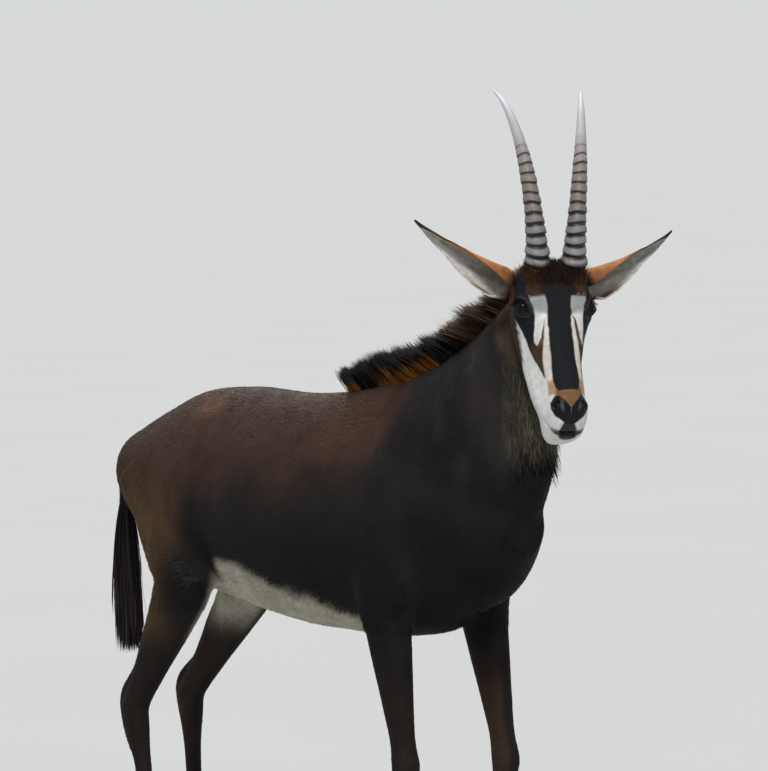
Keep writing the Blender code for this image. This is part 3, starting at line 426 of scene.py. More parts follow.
def ham_shape(side):
    """The muscle behind the thigh, from the buttock down into the gaskin."""
    joints = HIND_JOINTS[side]
    hip = np.array(joints[0])
    stifle = np.array(joints[1])
    inward = -math.copysign(0.022, hip[1])
    line = [hip + (-0.080, 0.0, 0.0), stifle + (-0.118, inward, 0.100),
            stifle + (-0.072, inward, -0.010),
            along_joints(joints, 1.50) + (-0.032, inward * 0.3, 0.0),
            along_joints(joints, 1.75) + (-0.028, 0.0, 0.0)]
    return tube_shape("ham_" + side, line, (0.046, 0.038, 0.030, 0.023, 0.015), 36, 24, 1.4)


TAIL_LINE = ((-0.832, 0.0, 1.115), (-0.876, 0.0, 1.080), (-0.900, 0.0, 1.010), (-0.902, 0.0, 0.900),
             (-0.890, 0.0, 0.780))
TAIL_RADII = (0.030, 0.024, 0.019, 0.017, 0.012)

# %% [markdown]
# The shells are fused at a grain of a few millimetres. The muscles and folds that the
# table sections are too coarse for are then pushed out or pressed in where they lie
# under the hide: the shoulder blade, the point of the hip, the elbow, the fold of skin in
# front of the thigh.

# %% The body before the head is added
BODY_GRAIN = 0.0065
BODY_SMOOTHING = 16
# How far the skin lies under the ends of the hair, and how much less on legs and tail
COAT_DEPTH = 0.0045
LESS_ON_LEGS = 0.0025
# Middle x, distance to the side, z, how far it rises, and how wide along x, y and z
MUSCLES = (
    (0.165, 0.175, 1.060, 0.010, 0.060, 0.08, 0.120),
    (0.060, 0.190, 0.930, 0.009, 0.075, 0.08, 0.075),
    (0.330, 0.120, 0.960, 0.010, 0.060, 0.07, 0.060),
    (-0.505, 0.150, 1.205, 0.011, 0.035, 0.05, 0.030),
    (-0.690, 0.170, 1.080, 0.008, 0.075, 0.08, 0.075),
    (-0.560, 0.200, 0.880, 0.010, 0.070, 0.08, 0.085),
    (-0.455, 0.205, 0.860, -0.016, 0.045, 0.07, 0.075),
    (-0.395, 0.200, 1.080, -0.010, 0.050, 0.08, 0.070),
    (-0.020, 0.210, 1.060, -0.006, 0.040, 0.08, 0.130),
    (0.245, 0.150, 1.170, -0.007, 0.035, 0.06, 0.100),
    (-0.640, 0.170, 0.930, -0.005, 0.030, 0.06, 0.110),
    (0.215, 0.150, 0.830, 0.006, 0.030, 0.05, 0.060),
)


def muscle_relief(points):
    """How far the hide stands out or in over the muscles and folds."""
    total = np.zeros(len(points))
    for x, y, z, rise, wide_x, wide_y, wide_z in MUSCLES:
        total += rise * spot((points[:, 0] - x) / wide_x, (np.abs(points[:, 1]) - y) / wide_y,
                             (points[:, 2] - z) / wide_z)
    return total


shells = [trunk_shape(), neck_shape(), tube_shape("dock", TAIL_LINE, TAIL_RADII, 40, 20)]
for side in ("right", "left"):
    shells.append(limb_shape("foreleg_" + side, FORE_JOINTS[side], FORE_SHAPE))
    shells.append(limb_shape("hindleg_" + side, HIND_JOINTS[side], HIND_SHAPE))
    shells.append(heel_shape(side))
    shells.append(ham_shape(side))
body = fused(joined("body", shells), BODY_GRAIN, BODY_SMOOTHING)
points = points_of(body)
slender = soft(0.78, 0.62, points[:, 2]) + soft(-0.86, -0.875, points[:, 0])
coat_depth = COAT_DEPTH - LESS_ON_LEGS * np.clip(slender, 0.0, 1.0)
set_points(body, points + normals_of(body) * (muscle_relief(points) - coat_depth)[:, None])
print("body skin:", len(body.data.vertices), "points")

# %% [markdown]
# ## The head
# The head is lofted along the line of the face. Brows, cheeks, nostril wings and lips
# are swellings named in a small table. The eyeballs push the lids out, so a ball a
# little larger than the eye is fused in before the lids are opened. The mouth is a gap
# cut between the lips, a bare slit at the sides that opens at the front, and each nostril
# is a bent hollow shaped like a comma.

# %% Sections and swellings of the head
# Along the face, top, underside, half width, how much wider the upper half is, roundness
HEAD = (
    (-0.064, -0.150, -0.192, 0.028, 0.00, 0.95), (-0.054, -0.112, -0.208, 0.058, 0.05, 0.92),
    (-0.034, -0.062, -0.218, 0.075, 0.15, 0.85), (-0.004, -0.014, -0.222, 0.084, 0.24, 0.80),
    (0.036, 0.005, -0.220, 0.087, 0.30, 0.80), (0.076, 0.002, -0.214, 0.088, 0.32, 0.78),
    (0.120, -0.004, -0.202, 0.080, 0.18, 0.80), (0.175, -0.006, -0.182, 0.069, -0.05, 0.80),
    (0.230, -0.006, -0.162, 0.061, -0.18, 0.80), (0.280, -0.003, -0.144, 0.055, -0.20, 0.78),
    (0.314, -0.001, -0.133, 0.050, -0.12, 0.75), (0.340, -0.004, -0.130, 0.048, -0.02, 0.75),
    (0.362, -0.018, -0.130, 0.045, 0.00, 0.78), (0.380, -0.040, -0.127, 0.038, 0.00, 0.82),
    (0.391, -0.066, -0.118, 0.024, 0.00, 0.90),
)
# Along, to the side, out, how far it rises, how wide
FACE_RELIEF = (
    (0.004, 0.044, 0.000, 0.0260, 0.032), (0.074, 0.077, -0.012, 0.0060, 0.022),
    (0.040, 0.080, -0.070, -0.0060, 0.026), (0.130, 0.070, -0.130, 0.0060, 0.050),
    (0.150, 0.070, -0.060, -0.0050, 0.030), (0.220, 0.050, -0.080, -0.0060, 0.040),
    (0.336, 0.042, -0.022, 0.0060, 0.018), (0.335, 0.048, -0.066, 0.0040, 0.025),
    (0.365, 0.020, -0.112, 0.0040, 0.022),
)
JAW_SHIFT = 0.013
FACE_GRAIN = 0.0024
FACE_SMOOTHING = 3
FACE_COAT_DEPTH = 0.0012


def face_relief(along, side, out):
    total = np.zeros_like(along)
    for centre_along, centre_side, centre_out, rise, spread in FACE_RELIEF:
        away = (along - centre_along) ** 2 + (np.abs(side) - centre_side) ** 2 + (out - centre_out) ** 2
        total += rise * np.exp(-away / spread**2)
    return total


def head_shape():
    along, top, bottom, half_width, skew, power = (smooth_rows(HEAD, 130)[:, k, None] for k in range(6))
    angle = 2 * math.pi * np.arange(120)[None, :] / 120
    high = np.cos(angle)
    wide = np.sign(np.sin(angle)) * np.abs(np.sin(angle)) ** power
    middle = (top + bottom) / 2
    out = middle + (top - bottom) / 2 * high
    side = half_width * wide * (1 + skew * high)
    along = np.broadcast_to(along, side.shape)
    push = face_relief(along, side, out)
    reach = np.maximum(np.hypot(side, out - middle), 1e-6)
    side = side + push * side / reach
    out = out + push * (out - middle) / reach
    side = side - JAW_SHIFT * np.clip(along / 0.25, 0.0, 1.0) * np.clip(0.15 - high, 0.0, 1.0)
    return ring_loft("head", HORN_ROOT + np.stack((along, side, out), axis=-1) @ HEAD_AXES)


# %% Mouth, nostrils and the opening between the lids
EYE_OPENING = (0.0200, 0.0135)
LID_THICKNESS = 0.0035
SOCKET_GAP = 0.0002
# The gap between the lips: its front and its corner, along the face and out from it
MOUTH_FRONT = (0.402, -0.0540)
MOUTH_CORNER = (0.322, -0.0790)
MOUTH_HALF = 0.0190
CORNER_HALF = 0.0007


def mouth_half(part):
    """Half the gap between the lips, from 0 at the corner of the mouth to 1 at the front."""
    return CORNER_HALF + np.maximum(0.0, part) ** 4 * (MOUTH_HALF - CORNER_HALF)


def mouth_cutter():
    """The gap between the lips, closed to nothing much at the corner of the mouth."""
    rings = []
    for side in (-0.09, 0.09):
        front = head_point(MOUTH_FRONT[0], side, MOUTH_FRONT[1])
        corner = head_point(MOUTH_CORNER[0], side, MOUTH_CORNER[1])
        lift = head_vector(0, 0, 1)
        parts = np.array((1.0, 0.92, 0.84, 0.74, 0.60, 0.0))
        upper = [corner + part * (front - corner) + lift * mouth_half(part) for part in parts]
        lower = [corner + part * (front - corner) - lift * mouth_half(part) for part in parts[::-1]]
        rings.append(lower + upper)
    return ring_loft("mouth", rings)


def mouth_distance(places):
    """How far places on the head lie outside the gap between the lips, less than 0 in it."""
    part = (places[:, 0] - MOUTH_CORNER[0]) / (MOUTH_FRONT[0] - MOUTH_CORNER[0])
    line = MOUTH_CORNER[1] + part * (MOUTH_FRONT[1] - MOUTH_CORNER[1])
    return np.where(part > 0, np.abs(places[:, 2] - line) - mouth_half(part), 1.0)


def nostril_cutters(sign):
    """The wide inner end of the comma and its tail, which curls down and out."""
    inward, down, across = square_axes(head_vector(-0.30, -0.45 * sign, -0.85),
                                       head_vector(0.85, -0.35 * sign, -0.45))
    cutters = []
    for along, side, out, radii in ((0.334, 0.0330, -0.0080, (0.0100, 0.0062, 0.0120)),
                                    (0.338, 0.0400, -0.0150, (0.0095, 0.0040, 0.0090)),
                                    (0.345, 0.0440, -0.0240, (0.0080, 0.0030, 0.0070))):
        middle = head_point(along, side * sign, out)
        cutters.append(ellipsoid("nostril", middle, radii, (down, across, inward)))
    return cutters


def eyelid_rim(sign, count):
    """The lens-shaped edge of the lids, seen along the gaze from the eye's middle."""
    _, (_, corner, across) = eye_frame(sign)
    angle = 2 * math.pi * np.arange(count) / count
    high = np.sin(angle) * (1 - 0.25 * np.abs(np.cos(angle)))
    return corner * EYE_OPENING[0] * np.cos(angle)[:, None] + across * EYE_OPENING[1] * high[:, None]


def eyelid_cutter(sign):
    middle, (gaze, _, _) = eye_frame(sign)
    rim = eyelid_rim(sign, 48)
    rings = [middle + gaze * depth + rim * scale for depth, scale in ((0.002, 0.8), (0.045, 1.25))]
    return ring_loft("opening", rings)


def eye_balls(name, radius):
    """A ball round the middle of each eye."""
    return [ellipsoid(name, eye_frame(sign)[0], [radius] * 3, eye_frame(sign)[1]) for sign in (1, -1)]


# %% [markdown]
# ## The ears
# Each ear is a long leaf, curled into a cup at its base and opening towards a thin tip.
# A sheet is bent into that cup and thickened with Solidify, then joined to the head, so
# that the skin runs from the cheek out to the tip without a seam.

# %% Ears as curled leaves
EAR_LENGTH = 0.272
EAR_ROOT = (0.010, 0.076, -0.085)
EAR_PROFILE = np.array((
    (0.0, 0.028), (0.12, 0.038), (0.30, 0.0335), (0.50, 0.0275), (0.68, 0.0165), (0.84, 0.0095),
    (0.94, 0.0040), (1.0, 0.0020),
))
EAR_REACH = {"left": (-0.1086, 0.205, -0.0103), "right": (-0.163, 0.205, -0.0275)}
EAR_WALL = 0.0026


def ear_frame(side):
    """The ear's root, the way it reaches, the way its cup opens, and across the cup."""
    sign = SIGNS[side]
    reach = head_vector(EAR_REACH[side][0], EAR_REACH[side][1] * sign, EAR_REACH[side][2])
    face = HEAD_AHEAD * 0.85 + HEAD_SIDE * sign * 0.30 - UP * 0.42
    root = head_point(EAR_ROOT[0], EAR_ROOT[1] * sign, EAR_ROOT[2])
    return root, square_axes(reach, face)


def ear_points(side, part, turn):
    """Points of the leaf from the part of its length and the place across it, -1 to 1."""
    root, (along, opening, across) = ear_frame(side)
    half = np.interp(part, EAR_PROFILE[:, 0], EAR_PROFILE[:, 1])
    curl = np.radians(150 - 95 * np.minimum(1.0, part * 1.6))
    radius = half / np.sin(np.minimum(curl, math.pi / 2))
    angle = curl * turn
    bow = (along * EAR_LENGTH * part[..., None] + opening * 0.022 * np.sin(math.pi * part)[..., None]
           + UP * 0.012 * part[..., None] ** 3)
    return (root + bow + across * (radius * np.sin(angle))[..., None]
            - opening * (radius * (np.cos(angle) - 0.4))[..., None])


def ear_shape(side):
    rows, columns = 60, 29
    part, turn = np.meshgrid(np.linspace(0, 1, rows), np.linspace(-1, 1, columns), indexing="ij")
    points = ear_points(side, part, turn).reshape(-1, 3)
    corner = (np.arange(rows - 1)[:, None] * columns + np.arange(columns - 1)).reshape(-1)
    faces = np.stack((corner, corner + 1, corner + columns + 1, corner + columns), axis=-1)
    ear = mesh_object("ear_" + side, points, faces.tolist())
    wall = ear.modifiers.new("wall", "SOLIDIFY")
    wall.thickness = EAR_WALL
    wall.offset = 0.0
    return outward(apply_modifiers(ear))


# %% One skin from nose to tail
lids = eye_balls("lid", EYE_RADIUS + LID_THICKNESS)
head = fused(joined("head", [head_shape()] + lids), FACE_GRAIN, FACE_SMOOTHING)
combine(head, [mouth_cutter()] + nostril_cutters(1) + nostril_cutters(-1), "DIFFERENCE")
head = fused(head, FACE_GRAIN, FACE_SMOOTHING)
set_points(head, points_of(head) - normals_of(head) * FACE_COAT_DEPTH)
openings = [eyelid_cutter(1), eyelid_cutter(-1)]
combine(head, eye_balls("socket", EYE_RADIUS + SOCKET_GAP) + openings, "DIFFERENCE")
combine(head, [ear_shape("left"), ear_shape("right")], "UNION")
skin = combine(body, [head], "UNION")
skin.name = "hide"
print("skin before the feet are trimmed:", len(skin.data.vertices), "points")

# %% Trimming the legs above the hooves
HOOF_LENGTH = 0.092
HOOF_TOE_HEIGHT = 0.058
HOOF_HEEL_HEIGHT = 0.034


def foot_heel(joints):
    """The place on the ground under the back of the foot."""
    end = np.array(joints[-1])
    return np.array((end[0] - HOOF_LENGTH * 0.44, end[1], 0.0))


def foot_space(joints):
    """All that lies below the top of the hoof."""
    slope = math.atan2(HOOF_TOE_HEIGHT - HOOF_HEEL_HEIGHT, HOOF_LENGTH)
    level, rise = math.cos(slope), math.sin(slope)
    axes = np.array(((level, 0, rise), (0, 1, 0), (-rise, 0, level)))
    top = foot_heel(joints) + (HOOF_LENGTH / 2, 0, (HOOF_TOE_HEIGHT + HOOF_HEEL_HEIGHT) / 2)
    middle = top - axes[2] * 0.05
    corners = np.array([(x, y, z) for x in (-0.08, 0.08) for y in (-0.065, 0.065)
                        for z in (-0.05, 0.05)])
    faces = [(0, 1, 3, 2), (4, 6, 7, 5), (0, 4, 5, 1), (2, 3, 7, 6), (0, 2, 6, 4), (1, 5, 7, 3)]
    return outward(mesh_object("foot_space", middle + corners @ axes, faces))


feet = list(FORE_JOINTS.values()) + list(HIND_JOINTS.values())
combine(skin, [foot_space(joints) for joints in feet], "DIFFERENCE")


def largest_piece(obj):
    """Keeps the surface with the most points and drops scraps."""
    shape = bmesh.new()
    shape.from_mesh(obj.data)
    shape.verts.ensure_lookup_table()
    seen = np.zeros(len(shape.verts), bool)
    best = []
    for start in shape.verts:
        if seen[start.index]:
            continue
        seen[start.index] = True
        group = [start]
        for vert in group:
            for edge in vert.link_edges:
                other = edge.other_vert(vert)
                if not seen[other.index]:
                    seen[other.index] = True
                    group.append(other)
        if len(group) > len(best):
            best = group
    kept = {vert.index for vert in best}
    scraps = [vert for vert in shape.verts if vert.index not in kept]
    bmesh.ops.delete(shape, geom=scraps, context="VERTS")
    shape.to_mesh(obj.data)
    shape.free()


largest_piece(skin)
# Behind the jaw and in the fold of the chest, where parts meet, the skin is evened out
JOINT_LEVELS = 8
JOINT_SMOOTHING = 26
blend = skin.vertex_groups.new(name="joint")
points = points_of(skin)
places = in_head(points)
near_joint = soft(0.16, 0.05, np.linalg.norm(points - head_point(0.02, 0.0, -0.20), axis=1))
near_joint *= soft(-0.09, -0.13, places[:, 2])
fold = np.linalg.norm((np.abs(points) - (0.33, 0.10, 1.03)) / (0.17, 0.10, 0.15), axis=1)
near_joint = np.maximum(near_joint, soft(1.25, 0.75, fold) * (points[:, 0] > 0.1))
for level in range(1, JOINT_LEVELS + 1):
    members = np.nonzero((near_joint * JOINT_LEVELS).round() == level)[0]
    blend.add(members.tolist(), level / JOINT_LEVELS, "REPLACE")
relax(skin, JOINT_SMOOTHING, "joint")
apply_modifiers(skin)
skin.data.calc_loop_triangles()
print("skin:", len(skin.data.vertices), "points,", len(skin.data.loop_triangles), "triangles")

# %% [markdown]
# ## Markings
# The colours of a sable antelope sit in clear places: a black blaze with white at both
# sides, a black stripe from the eye, rust-coloured ears, a red-brown back, black flanks
# and a white belly. Some layers are painted light and shade: a painted sheen on the neck
# and the back, painted highlights on the lids and in the nostrils, and painted shade in
# the hollows of the ears and, with the dark skin, in the open mouth. One Python function
# gives the colour of any place on the body from these named places, and both the skin
# and every tuft of hair ask it, so that the two always agree. Each part of the body has a
# table of layers, a colour and how much of it lies at each point, which are painted in
# turn. The result is stored as a colour attribute, which the materials then read.

# %% Smooth random variation
def grain(points, size, seed):
    """Smooth random numbers from -1 to 1 that change over about the given size."""
    scaled = np.asarray(points) / size + seed * 17.31
    cell = np.floor(scaled).astype(np.int64)
    part = scaled - cell
    part = part * part * (3 - 2 * part)
    total = np.zeros(len(scaled))
    for corner in np.ndindex(2, 2, 2):
        key = (cell + corner) @ np.array((73856093, 19349663, 83492791))
        key = ((key ^ (key >> 13)) * 1274126177) & 0x7FFFFFFF
        value = ((key ^ (key >> 16)) & 0xFFFF) / 32767.5 - 1
        total += value * np.prod(np.where(corner, part, 1 - part), axis=1)
    return total


def repeated(row, count):
    """One row of numbers for every point."""
    return np.tile(np.array(row), (count, 1))


def paint(colours, colour, amount):
    """Lays a colour over the others by an amount from 0 to 1 at each point."""
    return colours + (np.array(colour) - colours) * np.clip(amount, 0.0, 1.0)[:, None]


def layered(count, base, layers):
    """One colour or direction at every point, with each layer laid over it in turn."""
    colours = repeated(base, count)
    for colour, amount in layers:
        colours = paint(colours, colour, amount)
    return colours


def within(value, low, high, edge):
    """1 between two limits, with soft edges."""
    return soft(-edge, edge, value - low) * soft(edge, -edge, value - high)


# %% Colours of the coat
BLACK = (0.0050, 0.0042, 0.0042)
NECK_BLACK = (0.0105, 0.0088, 0.0085)
NECK_SHEEN_GREY = (0.036, 0.031, 0.029)
BACK_BROWN = (0.042, 0.021, 0.014)
RUMP_BROWN = (0.050, 0.026, 0.017)
HIP_RED = (0.115, 0.042, 0.020)
THIGH_RUST = (0.066, 0.036, 0.012)
WITHERS_RUST = (0.052, 0.021, 0.009)
BACK_SHEEN = (0.155, 0.108, 0.090)
SHANK_BROWN = (0.012, 0.0085, 0.0070)
INNER_LEG = (0.050, 0.028, 0.016)
BELLY_WHITE = (0.40, 0.38, 0.30)
FACE_WHITE = (0.76, 0.77, 0.75)
FACE_GREY = (0.33, 0.345, 0.345)
CREAM = (0.62, 0.53, 0.41)
CREAM_CORE = (0.74, 0.72, 0.68)
BLAZE_BLACK = (0.0080, 0.0090, 0.0120)
STRIPE_BROWN = (0.060, 0.034, 0.020)
FOREHEAD = (0.014, 0.0075, 0.0050)
RUST = (0.115, 0.044, 0.012)
BROW_RUST = (0.20, 0.080, 0.022)
TEMPLE_RUST = (0.13, 0.056, 0.022)
JAW_BROWN = (0.045, 0.027, 0.018)
JAW_UNDERSIDE = (0.060, 0.050, 0.030)
STREAK_GAP = (0.13, 0.075, 0.045)
MUZZLE_TAN = (0.46, 0.29, 0.17)
NOSE_RUST = (0.175, 0.082, 0.030)
EAR_RUST = (0.46, 0.19, 0.065)
EAR_GREY = (0.25, 0.245, 0.215)
EAR_PALE = (0.62, 0.60, 0.55)
EAR_UNDERSIDE = (0.20, 0.085, 0.035)
EAR_FOOT = (0.30, 0.12, 0.045)
EAR_HOLLOW_SHADE = (0.15, 0.135, 0.11)
EAR_TIP = (0.030, 0.020, 0.016)
THROAT_TAN = (0.105, 0.098, 0.058)
THROAT_PALE = (0.20, 0.19, 0.13)
NOSE_BLACK = (0.0065, 0.0065, 0.0080)
NOSTRIL_HIGHLIGHT = (0.15, 0.18, 0.24)
MOUTH_BLACK_AND_SHADE = (0.009, 0.008, 0.009)
UPPER_LID_SHEEN = (0.050, 0.052, 0.065)
LOWER_LID_HIGHLIGHT = (0.12, 0.12, 0.13)


def body_colours(points):
    """Trunk, neck and legs."""
    x, y, z = points.T
    broad = grain(points, 0.11, 1)
    fine = grain(points, 0.028, 2)
    streaks = grain(points * (1.0, 1.0, 0.16), 0.020, 7)
    neck = soft(0.22, 0.32, x) * soft(1.02, 1.16, z)
    # Painted sheen: a grey highlight in a band down the side of the neck, laid more faintly along its
    # streaks
    sheen = spot((x - 0.42 + 0.35 * (z - 1.30)) / 0.045) * neck
    front = soft(0.45, 0.50, x + 0.02 * streaks) * soft(1.46, 1.38, z)
    throat = front * within(z, 1.14, 1.42, 0.04) * soft(0.10, 0.06, np.abs(y))
    lower_edge = np.interp(x, (-0.60, -0.45, -0.30, -0.05, 0.10, 0.20),
                           (0.74, 0.98, 1.05, 1.07, 1.13, 1.30))
    brown = soft(-0.06, 0.10, z - lower_edge + 0.035 * broad) * soft(0.24, 0.02, x)
    behind_mane = spot((x + 0.02) / 0.11, (z - 1.22) / 0.08)
    top_sheen = (spot((x + 0.30) / 0.17) * soft(1.215, 1.285, z + 0.012 * fine)
                 * (0.7 + 0.3 * streaks))
    hip = spot((x + 0.505) / 0.05, (np.abs(y) - 0.085) / 0.05, (z - 1.225) / 0.035)
    thigh = within(z, 0.63, 1.02, 0.09) * soft(-0.50, -0.64, x + 0.03 * broad)
    front_thigh = spot((x + 0.445) / 0.075, (z - 0.84) / 0.19) * soft(0.02, 0.10, np.abs(y))
    lower_flank = within(x, -0.46, 0.20, 0.05) * soft(1.03, 0.90, z + 0.02 * broad)
    belly_edge = np.interp(x, (-0.62, -0.46, -0.38, -0.30, -0.18, -0.05, 0.06),
                           (0.80, 0.84, 0.862, 0.850, 0.815, 0.785, 0.74))
    belly = (soft(0.020, -0.020, z - belly_edge + 0.012 * fine) * soft(0.10, 0.00, x)
             * soft(-0.74, -0.66, x))
    belly *= soft(0.150, 0.115, np.abs(y)) + soft(-0.43, -0.37, x)
    belly *= soft(0.60, 0.72, z)
    inner_thigh = (soft(0.105, 0.080, np.abs(y)) * within(z, 0.62, 0.92, 0.05)
                   * soft(-0.38, -0.50, x) * soft(-0.80, -0.74, x))
    rump_patch = soft(0.09, 0.05, np.abs(y)) * within(z, 0.80, 1.06, 0.03) * soft(-0.74, -0.80, x)
    chest = soft(0.16, 0.30, x) * soft(1.20, 1.00, z)
    shank = soft(0.70, 0.60, z)
    inner_leg = shank * soft(0.124, 0.108, np.abs(y)) * (z > 0.15)
    tail = soft(-0.862, -0.875, x) * (z > 0.6)
    colours = layered(len(points), NECK_BLACK, (
        (NECK_SHEEN_GREY, 0.55 * sheen + 0.35 * neck * soft(0.1, 0.9, streaks)),
        (BLACK, 0.8 * front * soft(1.18, 1.10, z)), (THROAT_TAN, throat * (0.45 + 0.35 * fine)),
        (BACK_BROWN, brown), (RUMP_BROWN, brown * soft(-0.40, -0.56, x)),
        (WITHERS_RUST, 0.8 * behind_mane * (x < 0.14)), (BACK_SHEEN, 0.55 * top_sheen),
        (HIP_RED, 0.75 * hip), (THIGH_RUST, 0.9 * thigh), (BLACK, 0.92 * front_thigh),
        (BLACK, 0.85 * lower_flank), (BELLY_WHITE, belly), (BELLY_WHITE, 0.9 * inner_thigh),
        (BELLY_WHITE, 0.7 * rump_patch * (x > -0.868)), (BLACK, 0.8 * chest * (z > 0.7)),
        (SHANK_BROWN, shank), (INNER_LEG, 0.5 * inner_leg), (BLACK, tail)))
    return colours * (1 + 0.20 * broad + 0.14 * fine + 0.16 * streaks)[:, None]


# %% The face and ears
# Edges measured round the face from its middle line, at places along it: half the blaze,
# the cream line beside it, both edges of the white streak, and the outside of the eye stripe
BLAZE_EDGE = np.array((
    (-0.02, 0.030), (0.066, 0.031), (0.096, 0.029), (0.114, 0.034), (0.148, 0.037), (0.182, 0.041),
    (0.224, 0.044), (0.262, 0.049), (0.277, 0.048), (0.290, 0.042), (0.300, 0.034), (0.306, 0.022),
))
CREAM_EDGE = np.array((
    (0.115, 0.038), (0.128, 0.045), (0.145, 0.050), (0.163, 0.056), (0.178, 0.063), (0.199, 0.074),
    (0.213, 0.081), (0.235, 0.080), (0.264, 0.080),
))
STREAK_INNER = np.array((
    (0.115, 0.038), (0.128, 0.049), (0.145, 0.059), (0.163, 0.071), (0.172, 0.085), (0.178, 0.095),
))
STREAK_OUTER = np.array((
    (0.060, 0.071), (0.077, 0.075), (0.093, 0.070), (0.110, 0.073), (0.122, 0.078), (0.136, 0.087),
    (0.151, 0.100), (0.163, 0.105), (0.172, 0.100), (0.178, 0.094),
))
STRIPE_OUTER = np.array((
    (-0.02, 0.120), (0.03, 0.148), (0.100, 0.155), (0.117, 0.151), (0.151, 0.142), (0.178, 0.135),
    (0.201, 0.125), (0.223, 0.109), (0.249, 0.092), (0.263, 0.080), (0.290, 0.080),
))
JAW_EDGE = np.array((
    (0.10, 0.160), (0.116, 0.163), (0.145, 0.171), (0.167, 0.180), (0.197, 0.200), (0.22, 0.225),
    (0.26, 0.28), (0.30, 0.45),
))
# Where the white patch before the eye begins, along the face
PATCH_START = 0.0700
# Half the bare nose, seen square to its face: to the side, and down from its middle
NOSE_OUTLINE = np.array((
    (0.0, -0.013), (0.012, -0.027), (0.024, -0.036), (0.037, -0.034), (0.0450, -0.020),
    (0.0430, -0.004), (0.033, 0.010), (0.021, 0.018), (0.011, 0.025), (0.0, 0.027),
))


def outline_distance(flat, outline):
    """How far flat points lie outside a closed outline, less than 0 inside it."""
    following = np.roll(outline, -1, axis=0)
    nearest = np.full(len(flat), 9.0)
    inside = np.zeros(len(flat), bool)
    for start, end in zip(outline, following):
        step = end - start
        t = np.clip(((flat - start) @ step) / max(step @ step, 1e-12), 0, 1)
        nearest = np.minimum(nearest, np.linalg.norm(flat - start - t[:, None] * step, axis=1))
        if start[1] != end[1]:
            crosses = (start[1] > flat[:, 1]) != (end[1] > flat[:, 1])
            inside ^= crosses & (flat[:, 0] < start[0] + (flat[:, 1] - start[1]) * step[0] / step[1])
    return np.where(inside, -nearest, nearest)


def nose_distance(places):
    """How far places on the head lie outside the bare nose, seen square to its face."""
    slope = math.radians(36.0)
    along, out = places[:, 0] - 0.352, places[:, 2] + 0.018
    drop = along * math.cos(slope) - out * math.sin(slope)
    flat = np.stack((np.abs(places[:, 1]), drop), axis=1)
    depth = along * math.sin(slope) + out * math.cos(slope)
    return outline_distance(flat, NOSE_OUTLINE) + np.maximum(0.0, -depth - 0.020)


def lip_dark(places):
    """The bare dark skin from the nose to the open mouth, and inside the lower lip, where the black is
    partly painted shade.
    """
    along, side, out = places.T
    wide = np.interp(along, (0.362, 0.372, 0.388), (0.009, 0.013, 0.025))
    above = (soft(wide + 0.003, wide - 0.003, np.abs(side + 0.003)) * soft(0.355, 0.361, along)
             * (out > -0.060))
    wide = np.interp(out, (-0.092, -0.084, -0.072), (0.0, 0.012, 0.021))
    below = (soft(wide + 0.003, wide - 0.003, np.abs(side)) * soft(0.366, 0.374, along)
             * soft(-0.090, -0.083, out))
    below *= out < -0.050
    return np.maximum(above, below)


